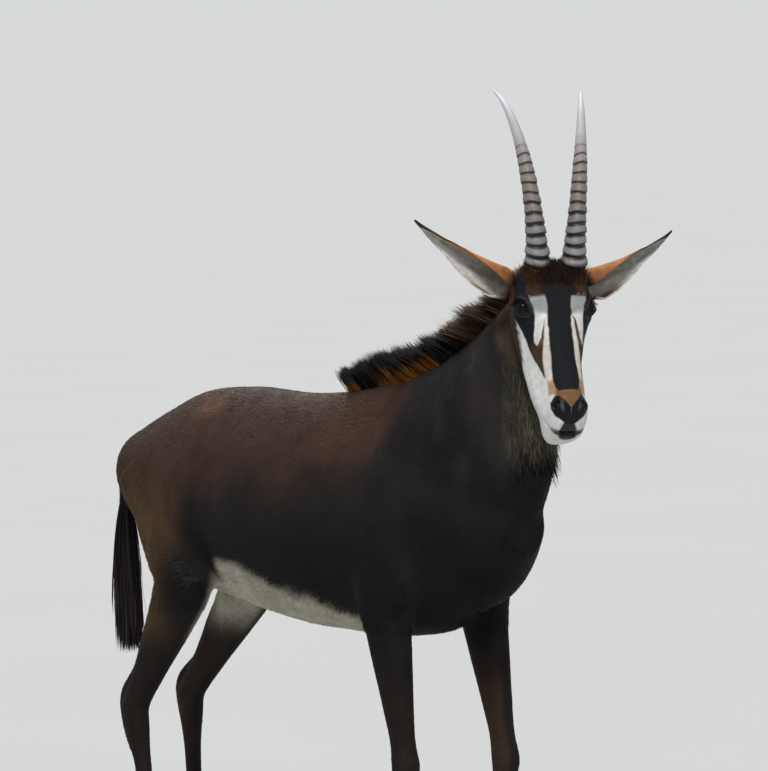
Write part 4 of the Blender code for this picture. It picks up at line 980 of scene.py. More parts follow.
def face_colours(points):
    """The head without the ears."""
    places = in_head(points)
    along, side, out = places.T
    fine = grain(points, 0.010, 3)
    round_face = np.abs(side) + np.maximum(0.0, -out) + 0.0015 * fine
    middle = np.interp(along, (0.095, 0.125), (0.0015, 0.0040))
    round_blaze = np.abs(side + middle) + np.maximum(0.0, -out) + 0.0015 * fine
    along = along + 0.0015 * grain(points, 0.012, 4)
    blaze, cream_edge, inner, outer, stripe_edge, jaw_edge = (
        np.interp(along, line[:, 0], line[:, 1])
        for line in (BLAZE_EDGE, CREAM_EDGE, STREAK_INNER, STREAK_OUTER, STRIPE_OUTER, JAW_EDGE))
    edge = 0.0018
    behind_eye = soft(0.120, 0.155, round_face)
    rust = (within(along, 0.030, 0.070, 0.014) * within(round_face, 0.044, 0.092, 0.014)
            * np.clip(0.65 + 0.5 * fine, 0, 1))
    stripe = (soft(-0.012, 0.004, along) * within(round_face, 0.083, stripe_edge, 0.004)
              * soft(0.075, 0.060, along))
    stripe_inner = cream_edge * (along > 0.176) + outer * (along <= 0.176)
    stripe += soft(0.060, 0.072, along) * within(round_face, stripe_inner, stripe_edge, edge)
    stripe = np.clip(stripe, 0, 1) * soft(0.268, 0.260, along)
    brown_below = soft(0.150, 0.182, along + 0.12 * (0.10 - round_face))
    gap = within(round_face, cream_edge, inner + 0.001, edge) * within(along, 0.122, 0.180, 0.004)
    rounded = 8.0 * np.maximum(0, np.abs(round_face - 0.052) - 0.012) ** 2
    patch = soft(PATCH_START - edge, PATCH_START + 2 * edge, along - rounded)
    patch = patch * within(round_face, blaze, outer, edge) * soft(0.122, 0.114, along)
    streak = (soft(0.108, 0.116, along) * within(round_face, inner, outer, edge)
              * soft(0.179, 0.174, along))
    cream = (soft(0.112, 0.124, along) * within(round_blaze, blaze, cream_edge, edge)
             * soft(0.32, 0.28, along))
    cream_width = cream_edge - blaze
    from_core = np.abs(round_blaze - 0.5 * (cream_edge + blaze))
    core = soft(0.5 * cream_width, 0.25 * cream_width, from_core)
    cheek = soft(0.098, 0.112, along) * soft(stripe_edge - edge, stripe_edge + edge, round_face)
    cheek *= soft(0.010, -0.010, round_face - jaw_edge + 0.006 * fine)
    muzzle = soft(0.258, 0.270, along) * soft(0.078, 0.082, round_face)
    tan = soft(0.262, 0.275, along) * soft(0.082, 0.070, round_face)
    blaze_mask = (soft(edge, -edge, round_blaze - blaze) * soft(0.045, 0.066, along)
                  * soft(0.306, 0.300, along))
    rust_nose = (soft(0.282, 0.296, along) * soft(0.350, 0.340, along)
                 * soft(0.052, 0.040, round_face) * (1 - blaze_mask))
    under = soft(-0.165, -0.190, out) * soft(0.30, 0.22, along)
    nose = nose_distance(places)
    # Painted highlight: bluish light on the inner walls of the nostrils
    rim = spot((np.abs(side) - 0.0200 - 0.25 * (0.343 - along)) / 0.0032, (along - 0.340) / 0.0080)
    layers = [
        (TEMPLE_RUST, behind_eye * soft(0.09, 0.02, along)),
        (JAW_BROWN, behind_eye * soft(0.03, 0.10, along)), (RUST, 0.50 * rust),
        (BROW_RUST, 0.6 * rust * soft(0.056, 0.066, along) * soft(0.060, 0.075, round_face)),
        (BLAZE_BLACK, stripe), (STRIPE_BROWN, stripe * brown_below), (STREAK_GAP, gap),
        (FACE_GREY, patch),
        (FACE_WHITE, patch * soft(0.098, 0.120, along + 0.25 * (round_face - 0.06))),
        (FACE_WHITE, streak), (CREAM, cream), (CREAM_CORE, 0.8 * cream * core), (FACE_WHITE, cheek),
        (FACE_WHITE, muzzle), (MUZZLE_TAN, tan),
        (FACE_WHITE, soft(0.300, 0.310, along) * soft(0.050, 0.058, round_face)),
        (FACE_WHITE, soft(0.335, 0.345, along)), (BLAZE_BLACK, blaze_mask),
        (NOSE_RUST, 0.9 * rust_nose), (JAW_UNDERSIDE, 0.8 * under * soft(0.24, 0.10, along)),
        (NOSE_BLACK, soft(0.0012, -0.0008, nose + 0.0008 * fine)),
        (NOSTRIL_HIGHLIGHT, 0.55 * rim * (nose < -0.002))]
    for sign in (1, -1):
        centre, (gaze, corner, across) = eye_frame(sign)
        rest = points - centre
        lens = np.hypot(rest @ corner / EYE_OPENING[0], rest @ across / EYE_OPENING[1])
        lid = (rest @ gaze > 0) * (np.linalg.norm(rest, axis=1) < 0.040)
        # Painted highlights: a pale line along the lower lid and a grey sheen over the upper lid
        lower_lid_highlight = lid * within(lens, 1.20, 1.42, 0.10) * (rest @ across < -0.004)
        upper_lid_sheen = lid * within(lens, 1.35, 1.75, 0.15) * (rest @ across > 0.004)
        layers += [(LOWER_LID_HIGHLIGHT, 0.35 * lower_lid_highlight), (UPPER_LID_SHEEN, 0.6 * upper_lid_sheen)]
    # Painted black on the walls of the gap between the lips where it opens wide, and on the dark lip
    # skin: partly the skin's own colour, partly painted shade inside the open mouth
    mouth = soft(0.0030, 0.0010, mouth_distance(places)) * soft(0.365, 0.382, places[:, 0])
    layers.append((MOUTH_BLACK_AND_SHADE, 0.97 * np.maximum(mouth, lip_dark(places))))
    colours = layered(len(points), FOREHEAD, layers)
    return colours * (1 + 0.06 * fine)[:, None]


def ear_colours(points, normals, side):
    """One ear, from its rust base to its dark tip, and how much of each point is on it."""
    sign = SIGNS[side]
    root, (along, opening, across) = ear_frame(side)
    part = (points - root) @ along / EAR_LENGTH
    half = np.interp(part, EAR_PROFILE[:, 0], EAR_PROFILE[:, 1])
    upper = -sign * ((points - root) @ across) / half
    inside = soft(-0.25, 0.25, normals @ opening)
    fine = grain(points, 0.008, 5)
    back = layered(len(points), EAR_RUST, ((EAR_UNDERSIDE, soft(0.15, -0.6, upper)),))
    band = np.interp(part, (0.0, 0.35, 0.60, 0.80), (0.10, 0.35, 0.62, 0.85))
    # The lining is painted darker as shade in the hollow of the cup near its base
    lining = layered(len(points), EAR_GREY, (
        (EAR_PALE, within(np.abs(upper), 0.62, 1.3, 0.14) * 0.8 + 0.2 * (fine > 0.3)),
        (EAR_RUST, soft(-0.12, 0.12, upper - band + 0.12 * fine) * soft(0.88, 0.66, part)),
        (EAR_FOOT, soft(0.36, 0.14, part) * soft(-0.4, 0.30, upper)),
        (EAR_HOLLOW_SHADE, within(upper, -0.45, 0.15, 0.2) * soft(0.45, 0.15, part) * 0.6)))
    colours = paint(back, lining, inside)
    dark_edge = 0.85 * soft(0.86, 1.02, upper + 0.1 * fine) * soft(0.35, 0.70, part)
    dark_tip = soft(0.93, 0.99, part + 0.03 * np.clip(upper, -1, 1))
    colours = paint(colours, EAR_TIP, np.maximum(dark_edge, dark_tip))
    places = in_head(points)
    amount = (soft(0.015, 0.09, part) * soft(0.060, 0.085, np.abs(places[:, 1]))
              * (places[:, 1] * sign > 0))
    near = np.linalg.norm(points - root - along * (part * EAR_LENGTH)[:, None], axis=1)
    return colours * (1 + 0.12 * fine)[:, None], amount * soft(0.085, 0.070, near) * (part > 0)


def head_amount(points):
    """1 on the head, 0 on the neck and body, and an even ease where they meet."""
    places = in_head(points)
    edge = np.interp(places[:, 0], (0.10, 0.175, 0.23, 0.30, 0.40),
                     (-0.185, -0.195, -0.188, -0.172, -0.155))
    amount = soft(-0.008, 0.008, places[:, 2] - edge + 0.005 * grain(points, 0.02, 6))
    back_edge = -0.055 + 0.25 * np.maximum(0.0, -0.09 - places[:, 2])
    return amount * soft(-0.02, 0.02, places[:, 0] - back_edge) * (points[:, 2] > 1.1)


COLOUR_LIMITS = (0.001, 0.95)


def markings_and_painted_light(points, normals):
    """The colour of any place on the animal, from the place and the way it faces."""
    colours = paint(body_colours(points), face_colours(points), head_amount(points))
    for side in SIGNS:
        colours = paint(colours, *ear_colours(points, normals, side))
    return np.clip(colours, *COLOUR_LIMITS)


points, normals = points_of(skin), normals_of(skin)
skin_colours = markings_and_painted_light(points, normals)
print("mean colour of the hide:", skin_colours.mean(axis=0).round(3))

# %% [markdown]
# ## Writing materials as plain sums
# A shader is a little network of nodes. The class below wraps one output socket, so that
# sums such as `0.7 - 0.4 * wet` can be written as they are read and add their own Math
# nodes. Any other node comes from one method, which sets the node up before it fills its
# sockets with numbers or links.

# %% A socket that can be reckoned with
class Wire:
    def __init__(self, tree, socket=None):
        self.tree = tree
        self.socket = socket

    def node(self, kind, settings=None, inputs=None, output=0):
        made = self.tree.nodes.new(kind)
        for name, value in (settings or {}).items():
            if name == "stops":
                for place, colour in value:
                    made.color_ramp.elements.new(place).color = (*colour, 1.0)
                made.color_ramp.elements.remove(made.color_ramp.elements[0])
                made.color_ramp.elements.remove(made.color_ramp.elements[-1])
            else:
                setattr(made, name, value)
        for name, value in (inputs or {}).items():
            if isinstance(value, Wire):
                self.tree.links.new(value.socket, made.inputs[name])
            else:
                made.inputs[name].default_value = value
        return Wire(self.tree, made.outputs[output])

    def sum(self, operation, first, second):
        return self.node("ShaderNodeMath", {"operation": operation}, {0: first, 1: second})

    def __add__(self, other):
        return self.sum("ADD", self, other)

    def __radd__(self, other):
        return self.sum("ADD", other, self)

    def __sub__(self, other):
        return self.sum("SUBTRACT", self, other)

    def __rsub__(self, other):
        return self.sum("SUBTRACT", other, self)

    def __mul__(self, other):
        return self.sum("MULTIPLY", self, other)

    def __rmul__(self, other):
        return self.sum("MULTIPLY", other, self)

    def painted(self, shade):
        """The colour painted on the object, made darker or lighter by a shade."""
        colour = self.node("ShaderNodeAttribute", {"attribute_name": "colour"})
        grey = self.node("ShaderNodeCombineColor", {}, {0: shade, 1: shade, 2: shade})
        multiply = {"data_type": "RGBA", "blend_type": "MULTIPLY"}
        return self.node("ShaderNodeMix", multiply, {0: 1.0, 6: colour, 7: grey}, 2)


def finish_named(name, build, fixed):
    """A material whose build function returns links for the shader's sockets by name."""
    made = bpy.data.materials.new(name)
    made.use_nodes = True
    tree = made.node_tree
    shader = tree.nodes["Principled BSDF"]
    for socket, value in fixed.items():
        shader.inputs[socket].default_value = value
    for socket, wire in build(Wire(tree)).items():
        tree.links.new(wire.socket, shader.inputs[socket])
    return made


def noise(wire, scale, detail=3.0, stretch=(1.0, 1.0, 1.0)):
    """Random values from 0 to 1 fixed to the object."""
    place = wire.node("ShaderNodeTexCoord", output=3)
    place = wire.node("ShaderNodeMapping", {}, {"Vector": place, "Scale": stretch})
    return wire.node("ShaderNodeTexNoise", {}, {"Vector": place, "Scale": scale, "Detail": detail})


# %% [markdown]
# ## Finishes
# Hide and hair read the painted markings and painted light. Between the tufts the hide
# shows as short fur, so it gets a fine bump, and its colour is painted a little darker as
# shade under the tufts. The bare nose, the inside of the mouth and the lid edges are wet
# skin: the same material, made smoother where a painted mask says wet, with the small
# bumps of a nose pad.

# %% Hide, hair and wet skin
def hide_look(wire):
    wet = wire.node("ShaderNodeAttribute", {"attribute_name": "wet"}, output=2)
    strands = noise(wire, 420.0, 2.0)
    place = wire.node("ShaderNodeTexCoord", output=3)
    pebbles = wire.node("ShaderNodeTexVoronoi", {}, {"Vector": place, "Scale": 520.0})
    patchy = noise(wire, 60.0)
    # Painted shade: the colour is darkened to 0.82 all over, for shade under the tufts, with random
    # patches on dry hide
    shade = (1 - wet) * (patchy - 0.5) * 0.5 + 0.82
    height = (1 - wet) * strands + wet * pebbles * 0.7
    bump = wire.node("ShaderNodeBump", {}, {"Strength": 0.45, "Distance": 0.0012, "Height": height})
    return {"Base Color": wire.painted(shade), "Roughness": 0.78 - 0.46 * wet, "Normal": bump}


def hair_look(wire):
    strand = noise(wire, 150.0, 2.0)
    return {"Base Color": wire.painted(strand * 0.4 + 0.8), "Roughness": 0.42 + 0.25 * strand}


hide = finish_named("short_hide", hide_look, {"Specular IOR Level": 0.16})
short_hair = finish_named("short_hair", hair_look, {"Specular IOR Level": 0.13})
long_hair = finish_named("long_hair", hair_look, {"Specular IOR Level": 0.16})


def horn_look(wire):
    fibres = noise(wire, 260.0, 3.0, (1.0, 1.0, 0.12))
    stain = noise(wire, 45.0, 3.0)
    bump = wire.node("ShaderNodeBump", {}, {"Strength": 0.55, "Distance": 0.0012, "Height": fibres})
    shade = fibres * 0.5 + stain * 0.3 + 0.62
    return {"Base Color": wire.painted(shade), "Roughness": 0.40 + 0.25 * stain, "Normal": bump}


def hoof_look(wire):
    rings = noise(wire, 120.0, 3.0, (0.2, 0.2, 1.0))
    scuff = noise(wire, 70.0, 4.0)
    stops = ((0.3, (0.016, 0.013, 0.011)), (0.75, (0.060, 0.050, 0.042)))
    colour = wire.node("ShaderNodeValToRGB", {"stops": stops}, {"Fac": scuff})
    bump = wire.node("ShaderNodeBump", {}, {"Strength": 0.5, "Distance": 0.001, "Height": rings})
    return {"Base Color": colour, "Roughness": 0.34 + 0.3 * scuff, "Normal": bump}


def eye_look(wire):
    fleck = noise(wire, 900.0, 2.0)
    return {"Base Color": wire.painted(fleck * 0.8 + 0.6), "Roughness": 0.03 + 0.03 * fleck}


horn_finish = finish_named("ringed_horn", horn_look, {"Specular IOR Level": 0.5})
hoof_finish = finish_named("hoof_horn", hoof_look, {"Specular IOR Level": 0.5})
eye_finish = finish_named("wet_eye", eye_look, {"Specular IOR Level": 0.14, "Coat Weight": 0.05,
                                                "Coat Roughness": 0.02})
finishes = (hide, short_hair, long_hair, horn_finish, hoof_finish, eye_finish)
print("materials:", [finish.name for finish in finishes])

# %% [markdown]
# ## A flat map of the body
# When the looks are baked for other programs, every point of skin and hair needs a place
# on a flat sheet. The body is unrolled in lengths: the trunk, the neck, the head and each
# leg are cut open like a sleeve, and each ear is pressed flat from both sides. A tuft of
# hair gets a small patch of that sheet at the place where its root stands.

# %% Unrolling the body
MAP_COLUMNS = 4
MAP_CELL = 0.25
LEGS = {"fore": FORE_JOINTS, "hind": HIND_JOINTS}
LEG_NAMES = [(foot, side) for foot in LEGS for side in ("right", "left")]
NECK_BASE = np.array((0.15, 0.0, 1.08))
NECK_AXIS = unit((0.42, -0.03, 0.42))


def leg_joints(number):
    foot, side = LEG_NAMES[number]
    return LEGS[foot][side]


def body_region(points, normals):
    """0 trunk, 1 neck, 2 head, 3-6 legs, 7 and 8 ears outside, 9 and 10 inside, 11 tail."""
    region = np.zeros(len(points), int)
    x, y, z = points.T
    neck_line = z - 1.135 + (x - 0.265) * 0.8
    region[(neck_line > 0) & (x > 0.10)] = 1
    region[head_amount(points) > 0.5] = 2
    for number, (foot, side) in enumerate(LEG_NAMES):
        on_leg = (z < 0.74) & ((x > -0.2) == (foot == "fore")) & ((y < 0) == (side == "right"))
        region[on_leg & (np.abs(y) > (0.06 if foot == "fore" else 0.03))] = 3 + number
    for number, side in enumerate(SIGNS):
        amount = ear_colours(points, normals, side)[1]
        inside = normals @ ear_frame(side)[1][1] > 0
        region[(amount > 0.5) & ~inside] = 7 + number
        region[(amount > 0.5) & inside] = 9 + number
    region[(x < -0.865) & (np.abs(y) < 0.045) & (z < 1.12)] = 11
    return region


def turn_and_length(points, region):
    """The part of a turn round a region's own line, and the part of its length."""
    x, y, z = points.T
    if region == 0:
        turn = np.arctan2(y, z - 0.98)
        reach = np.hypot(y, z - 0.98)
        bulge = soft(0.1, 0.4, x) - soft(-0.6, -0.8, x)
        return turn, (x + bulge * 0.8 * (0.28 - reach) + 1.15) / 1.9
    if region == 1:
        out = unit(np.cross(NECK_AXIS, ACROSS))
        rest = points - NECK_BASE
        return np.arctan2(rest @ ACROSS, rest @ out), (rest @ NECK_AXIS + 0.25) / 1.0
    if region == 2:
        along, side, out = in_head(points).T
        bulge = soft(0.30, 0.38, along) * (0.07 - np.hypot(side, out + 0.07))
        return np.arctan2(side, out + 0.10), (along + 0.8 * bulge + 0.12) / 0.62
    if region in (3, 4, 5, 6):
        joints = np.array(leg_joints(region - 3))
        middle_x = np.interp(z, joints[::-1, 2], joints[::-1, 0])
        return np.arctan2(y - joints[0, 1] * 1.05, x - middle_x), z / 0.80
    if region in (7, 8, 9, 10):
        side = "left" if region in (7, 9) else "right"
        root, (along, _, across) = ear_frame(side)
        turn = (points - root) @ across / 0.10 * math.pi * 0.9
        return turn, ((points - root) @ along + 0.03) / 0.36
    return np.arctan2(y, x + 0.890), (z - 0.50) / 0.70


def flat_place(points, region, turn_near=None):
    """Places on the flat sheet. A face that crosses a sleeve's cut stays in one piece."""
    place = np.zeros((len(points), 2))
    for number in np.unique(region):
        chosen = region == number
        turn, length = turn_and_length(points[chosen], number)
        if turn_near is not None:
            turn = turn_near[chosen] + (turn - turn_near[chosen] + math.pi) % (2 * math.pi) - math.pi
        corner = np.array((number % MAP_COLUMNS, number // MAP_COLUMNS)) * MAP_CELL
        round_part = np.clip(turn / (2 * math.pi), -0.55, 0.55)
        place[chosen, 0] = corner[0] + MAP_CELL * (0.5 + round_part * 0.86)
        place[chosen, 1] = corner[1] + MAP_CELL * (0.03 + 0.94 * np.clip(length, 0, 1))
    return place


def add_attributes(obj, colours, wet=None):
    data = np.ones((len(obj.data.vertices), 4), np.float32)
    data[:, :3] = colours
    layer = obj.data.color_attributes.new("colour", "FLOAT_COLOR", "POINT")
    layer.data.foreach_set("color", data.ravel())
    if wet is not None:
        layer = obj.data.attributes.new("wet", "FLOAT", "POINT")
        layer.data.foreach_set("value", np.asarray(wet, np.float32))


def corner_faces(mesh):
    """Which vertex and which face each corner of the mesh belongs to."""
    vertex = numbers(mesh.loops, "vertex_index", 1, np.int32)[:, 0]
    total = numbers(mesh.polygons, "loop_total", 1, np.int32)[:, 0]
    return vertex, np.repeat(np.arange(len(total)), total)


def unroll(obj):
    vertex, face = corner_faces(obj.data)
    middles = numbers(obj.data.polygons, "center").astype(float)
    region = body_region(middles, numbers(obj.data.polygons, "normal").astype(float))
    turns = np.zeros(len(middles))
    for number in np.unique(region):
        chosen = region == number
        turns[chosen] = turn_and_length(middles[chosen], number)[0]
    place = flat_place(points_of(obj)[vertex], region[face], turns[face])
    layer = obj.data.uv_layers.new(name="OFBake")
    layer.data.foreach_set("uv", place.astype(np.float32).ravel())


places = in_head(points)
nose = nose_distance(places)
wet_mask = soft(0.001, -0.001, nose) * (head_amount(points) > 0.5)
in_mouth = np.maximum(mouth_distance(places) < 0.001, lip_dark(places)) * (head_amount(points) > 0.5)
wet_mask = np.maximum(wet_mask, 0.7 * in_mouth)
add_attributes(skin, skin_colours, wet_mask)
unroll(skin)
dress(skin, hide)

# %% [markdown]
# ## Tufts
# A coat of real hair is far too fine to model, so the hairs are gathered into small flat
# tufts that taper to a point. Thousands of them are worked out at once with arrays and
# become one mesh for each region. Each tuft leaves the skin at a small angle and bends
# back along the lie of the coat: backwards over the trunk, down the legs, and up the
# face from the nose.

# %% The lie of the coat
def lie_of_coat(points, normals, seed=0):
    """The way the hair points at each place, flat on the skin."""
    x, y, z = points.T
    rump = soft(-0.62, -0.84, x)
    flank = soft(1.05, 0.80, z) * soft(-0.2, 0.0, -x)
    neck = soft(0.14, 0.32, x) * soft(0.85, 1.05, z)
    leg = soft(0.84, 0.66, z)
    tail = soft(-0.865, -0.885, x) * soft(0.05, 0.03, np.abs(y))
    ways = [((-0.35, 0.0, -1.1), rump), ((-0.6, 0.0, -0.8), 0.4 * flank),
            ((-0.55, 0.0, -0.85), neck), ((-0.12, 0.0, -1.0), leg), ((-0.05, 0.0, -1.0), tail),
            (-HEAD_ALONG - 0.25 * HEAD_OUT, head_amount(points))]
    ways += [(ear_frame(side)[1][0], ear_colours(points, normals, side)[1]) for side in SIGNS]
    lie = layered(len(points), (-1.0, 0.0, -0.22), ways)
    swirl = grain(points, 0.05, 11 + seed) * 0.25
    lie = lie - normals * np.sum(lie * normals, axis=1)[:, None]
    lie = unit(lie)
    sideways = np.cross(normals, lie)
    return unit(lie * np.cos(swirl)[:, None] + sideways * np.sin(swirl)[:, None])


# %% Even places on the skin
skin.data.calc_loop_triangles()
skin_corners = numbers(skin.data.loop_triangles, "vertices", 3, np.int32)
skin_points = points_of(skin)
skin_normals = normals_of(skin)
triangle_middles = skin_points[skin_corners].mean(axis=1)
triangle_normals = np.cross(skin_points[skin_corners[:, 1]] - skin_points[skin_corners[:, 0]],
                            skin_points[skin_corners[:, 2]] - skin_points[skin_corners[:, 0]])
triangle_areas = np.linalg.norm(triangle_normals, axis=1) / 2
triangle_normals = unit(triangle_normals)
triangle_regions = body_region(triangle_middles, triangle_normals)
print("hide area in square metres:", round(float(triangle_areas.sum()), 2))


def scatter(per_square_metre, seed):
    """Evenly spread places on the hide, with the skin's own direction at each."""
    draw = np.random.default_rng(seed)
    weight = np.cumsum(triangle_areas * per_square_metre)
    count = int(weight[-1])
    at = (np.arange(count) + draw.random(count)) / count * weight[-1]
    chosen = np.minimum(np.searchsorted(weight, at), len(weight) - 1)
    first, second = draw.random((2, count))
    folded = first + second > 1
    first = np.where(folded, 1 - first, first)
    second = np.where(folded, 1 - second, second)
    share = np.stack((1 - first - second, first, second), axis=1)[:, :, None]
    corners = skin_corners[chosen]
    roots = (skin_points[corners] * share).sum(axis=1)
    return roots, unit((skin_normals[corners] * share).sum(axis=1)), draw


# %% Building tufts
def tufts(name, roots, normals, lies, length, width, lift, draw, root_colours, tip_colours,
          stations=2, flatten=0.6, turn_dark=(0.3, 0.8), sink=0.0012, twist=0.5):
    """One mesh of tapering tufts that leave the skin at an angle and bend along its lie."""
    count = len(roots)
    lies = unit(lies)
    sideways = unit(np.cross(normals, lies))
    roll = draw.normal(0.0, twist, count)[:, None]
    blade = sideways * np.cos(roll) + normals * np.sin(roll)
    length = np.broadcast_to(length, count)
    width = np.broadcast_to(width, count)
    lift = np.broadcast_to(lift, count)
    centre = roots - normals * sink
    rows, colours, parts = [], [], []
    for k in range(stations + 1):
        part = k / stations
        fade = soft(turn_dark[0], turn_dark[1], part)
        colour = root_colours * (1 - fade) + tip_colours * fade
        if k < stations:
            half = width[:, None] / 2 * (0.72 + 0.75 * part - 1.05 * part * part)
            rows += [centre - blade * half, centre + blade * half]
            colours += [colour, colour]
            parts += [(-1, part), (1, part)]
            angle = (lift * (1 - flatten * (part + 0.5 / stations)))[:, None]
            onward = lies * np.cos(angle) + normals * np.sin(angle)
            centre = centre + onward * (length / stations)[:, None]
        else:
            rows.append(centre)
            colours.append(colour)
            parts.append((0, part))
    per = len(rows)
    vertices = np.stack(rows, axis=1).reshape(-1, 3)
    base = (np.arange(count) * per)[:, None]
    quads = [np.array((0, 1, 3, 2)) + 2 * k for k in range(stations - 1)]
    tip = np.array((2 * stations - 2, 2 * stations - 1, 2 * stations))
    corners = np.concatenate([base + row for row in quads] + [base + tip], axis=1)
    sizes = np.tile(np.array([4] * (stations - 1) + [3]), count)
    mesh = bpy.data.meshes.new(name)
    mesh.vertices.add(len(vertices))
    mesh.vertices.foreach_set("co", vertices.astype(np.float32).ravel())
    mesh.loops.add(corners.size)
    mesh.loops.foreach_set("vertex_index", corners.astype(np.int32).ravel())
    mesh.polygons.add(len(sizes))
    starts = np.concatenate(([0], np.cumsum(sizes)[:-1]))
    mesh.polygons.foreach_set("loop_start", starts.astype(np.int32))
    mesh.update(calc_edges=True)
    obj = in_workshop(name, mesh)
    dress(obj, short_hair if stations < 4 else long_hair)
    add_attributes(obj, np.clip(np.stack(colours, axis=1).reshape(-1, 3), *COLOUR_LIMITS))
    patch = np.array(parts) * (0.0015, 0.003) - (0.0, 0.0015)
    place = flat_place(roots, body_region(roots, normals))[:, None, :] + patch
    layer = mesh.uv_layers.new(name="OFBake")
    layer.data.foreach_set("uv", place.reshape(-1, 2)[corners.ravel()].astype(np.float32).ravel())
    print(name, count, "tufts,", count * (2 * stations - 1), "triangles")
    return obj


# %% [markdown]
# ## The short coat
# The coat is shortest and finest on the face and feet, longer over the trunk, and
# longest along the belly and the back of the thigh. The tufts of each region are one
# mesh, so that no mesh grows too large.

# %% Short coat over the whole body
COAT_SHARE = 1.0
# Piece name, its regions on the flat map, tufts per square metre, length, width, lift in degrees
COAT = (
    ("coat_trunk_fore", (0,), 95000, 0.0135, 0.0023, 9),
    ("coat_trunk_mid", (0,), 95000, 0.0135, 0.0023, 9),
    ("coat_trunk_hind", (0,), 95000, 0.0135, 0.0023, 9),
    ("coat_neck", (1,), 100000, 0.0135, 0.0022, 9),
    ("coat_forelegs", (3, 4), 120000, 0.0110, 0.0021, 10),
    ("coat_hindlegs", (5, 6), 110000, 0.0110, 0.0021, 10),
    ("coat_face", (2,), 316000, 0.0068, 0.00120, 12),
    ("coat_ears", (7, 8, 9, 10), 290000, 0.0075, 0.0013, 15),
    ("coat_dock", (11,), 70000, 0.018, 0.0026, 12),
)
# How far forward and back each length of the trunk reaches
TRUNK_LENGTHS = {"coat_trunk_fore": (0.06, 9.0), "coat_trunk_mid": (-0.40, 0.06),
                 "coat_trunk_hind": (-9.0, -0.40)}


def bare(points):
    """True where no hair grows: nose, inside of mouth and nostrils, and eyeballs."""
    places = in_head(points)
    found = nose_distance(places) < 0.0005
    found |= (mouth_distance(places) < 0.001) | (lip_dark(places) > 0.5)
    found &= head_amount(points) > 0.5
    for sign in (1, -1):
        middle, (gaze, corner, across) = eye_frame(sign)
        rest = points - middle
        found |= np.linalg.norm(rest, axis=1) < EYE_RADIUS + 0.0018
        lens = ((rest @ corner / (EYE_OPENING[0] + 0.002)) ** 2
                + (rest @ across / (EYE_OPENING[1] + 0.002)) ** 2)
        found |= (lens < 1) & (rest @ gaze > 0) & (np.linalg.norm(rest, axis=1) < 0.035)
        nostril = head_point(0.338, 0.038 * sign, -0.016)
        found |= np.linalg.norm(points - nostril, axis=1) < 0.0085
    return found


coat_pieces = []
for seed, (name, regions, per_square_metre, length, width, lift) in enumerate(COAT):
    density = np.isin(triangle_regions, regions) * per_square_metre * COAT_SHARE
    if name in TRUNK_LENGTHS:
        back, fore = TRUNK_LENGTHS[name]
        density = density * (triangle_middles[:, 0] > back) * (triangle_middles[:, 0] <= fore)
    roots, facing, draw = scatter(density, 100 + seed)
    kept = ~bare(roots)
    roots, facing = roots[kept], facing[kept]
    colours = markings_and_painted_light(roots, facing) * (1 + draw.normal(0.0, 0.13, len(roots)))[:, None]
    size = draw.uniform(0.75, 1.25, len(roots)) / math.sqrt(COAT_SHARE)
    long_places = np.ones(len(roots))
    x, y, z = roots.T
    if name.startswith("coat_trunk"):
        long_places += 0.7 * soft(0.90, 0.78, z) + 0.3 * soft(1.18, 1.28, z)
    if name == "coat_face":
        along = in_head(roots)[:, 0]
        long_places = np.interp(along, (-0.05, 0.03, 0.09, 0.28, 0.34), (1.9, 1.5, 1.0, 0.85, 0.62))
    if name == "coat_ears":
        up_ears = [(roots - ear_frame(side)[0]) @ ear_frame(side)[1][0] for side in SIGNS]
        long_places = 1 - 0.75 * soft(0.75, 1.0, np.maximum(*up_ears) / EAR_LENGTH)
    lies = lie_of_coat(roots, facing, seed)
    lifts = math.radians(lift) * draw.uniform(0.6, 1.4, len(roots))
    coat_pieces.append(tufts(name, roots, facing, lies, length * size * long_places, width * size,
                             lifts, draw, colours * 0.85, colours * 1.08, twist=0.25))

# %% [markdown]
# On the forehead the hair is thick and stands up against the roots of the horns, dark in
# the middle and rust-coloured towards the eyes. Longer tufts there hide the foot of each
# horn, which otherwise looks stuck on.

# %% Hair round the roots of the horns
FORELOCK_DENSITY = 170000
places = in_head(triangle_middles)
brow = (within(places[:, 0], -0.030, 0.046, 0.010) * soft(0.074, 0.056, np.abs(places[:, 1]))
        * (places[:, 2] > -0.045))
brow *= (triangle_regions == 2) * (1 + 1.2 * soft(0.0, 0.015, places[:, 0]))
roots, facing, draw = scatter(brow * FORELOCK_DENSITY * COAT_SHARE, 131)
colours = markings_and_painted_light(roots, facing) * draw.uniform(0.6, 1.4, len(roots))[:, None]
size = draw.uniform(0.6, 1.2, len(roots))
brow_length = 0.012 + 0.015 * soft(-0.005, 0.012, in_head(roots)[:, 0])
lies = -HEAD_ALONG + 0.22 * draw.normal(0, 1, (len(roots), 3))
forelock = tufts("forelock", roots, facing, lies, brow_length * size, 0.0017 * size,
                 np.radians(draw.uniform(18, 44, len(roots))), draw, colours * 0.7, colours * 1.3,
                 stations=3, flatten=0.4)

# %% [markdown]
# ## Mane, throat and tail
# The mane is an upright brush of coarse hair from behind the ears to behind the withers.
# Its hairs stand in small locks that share a lean, which gives the wispy top line. Near
# the roots it is rust-coloured in two stretches and the tips are black. The throat has a
# fringe of longer hair, and the tail ends in a long black tuft.

# %% The brush of the mane
def crest_line(count):
    """Points along the crest of the neck, from behind the withers to behind the ears."""
    crest = [tuple(row[0:3]) for row in smooth_rows(NECK, 60) if row[0] > 0.09]
    back = [(x, 0.0, top) for x, top, _, _, _ in smooth_rows(TRUNK, 60) if -0.115 < x < 0.06]
    line = np.array(sorted(back + crest))
    return smooth_rows(line[line[:, 0] < 0.497], count)


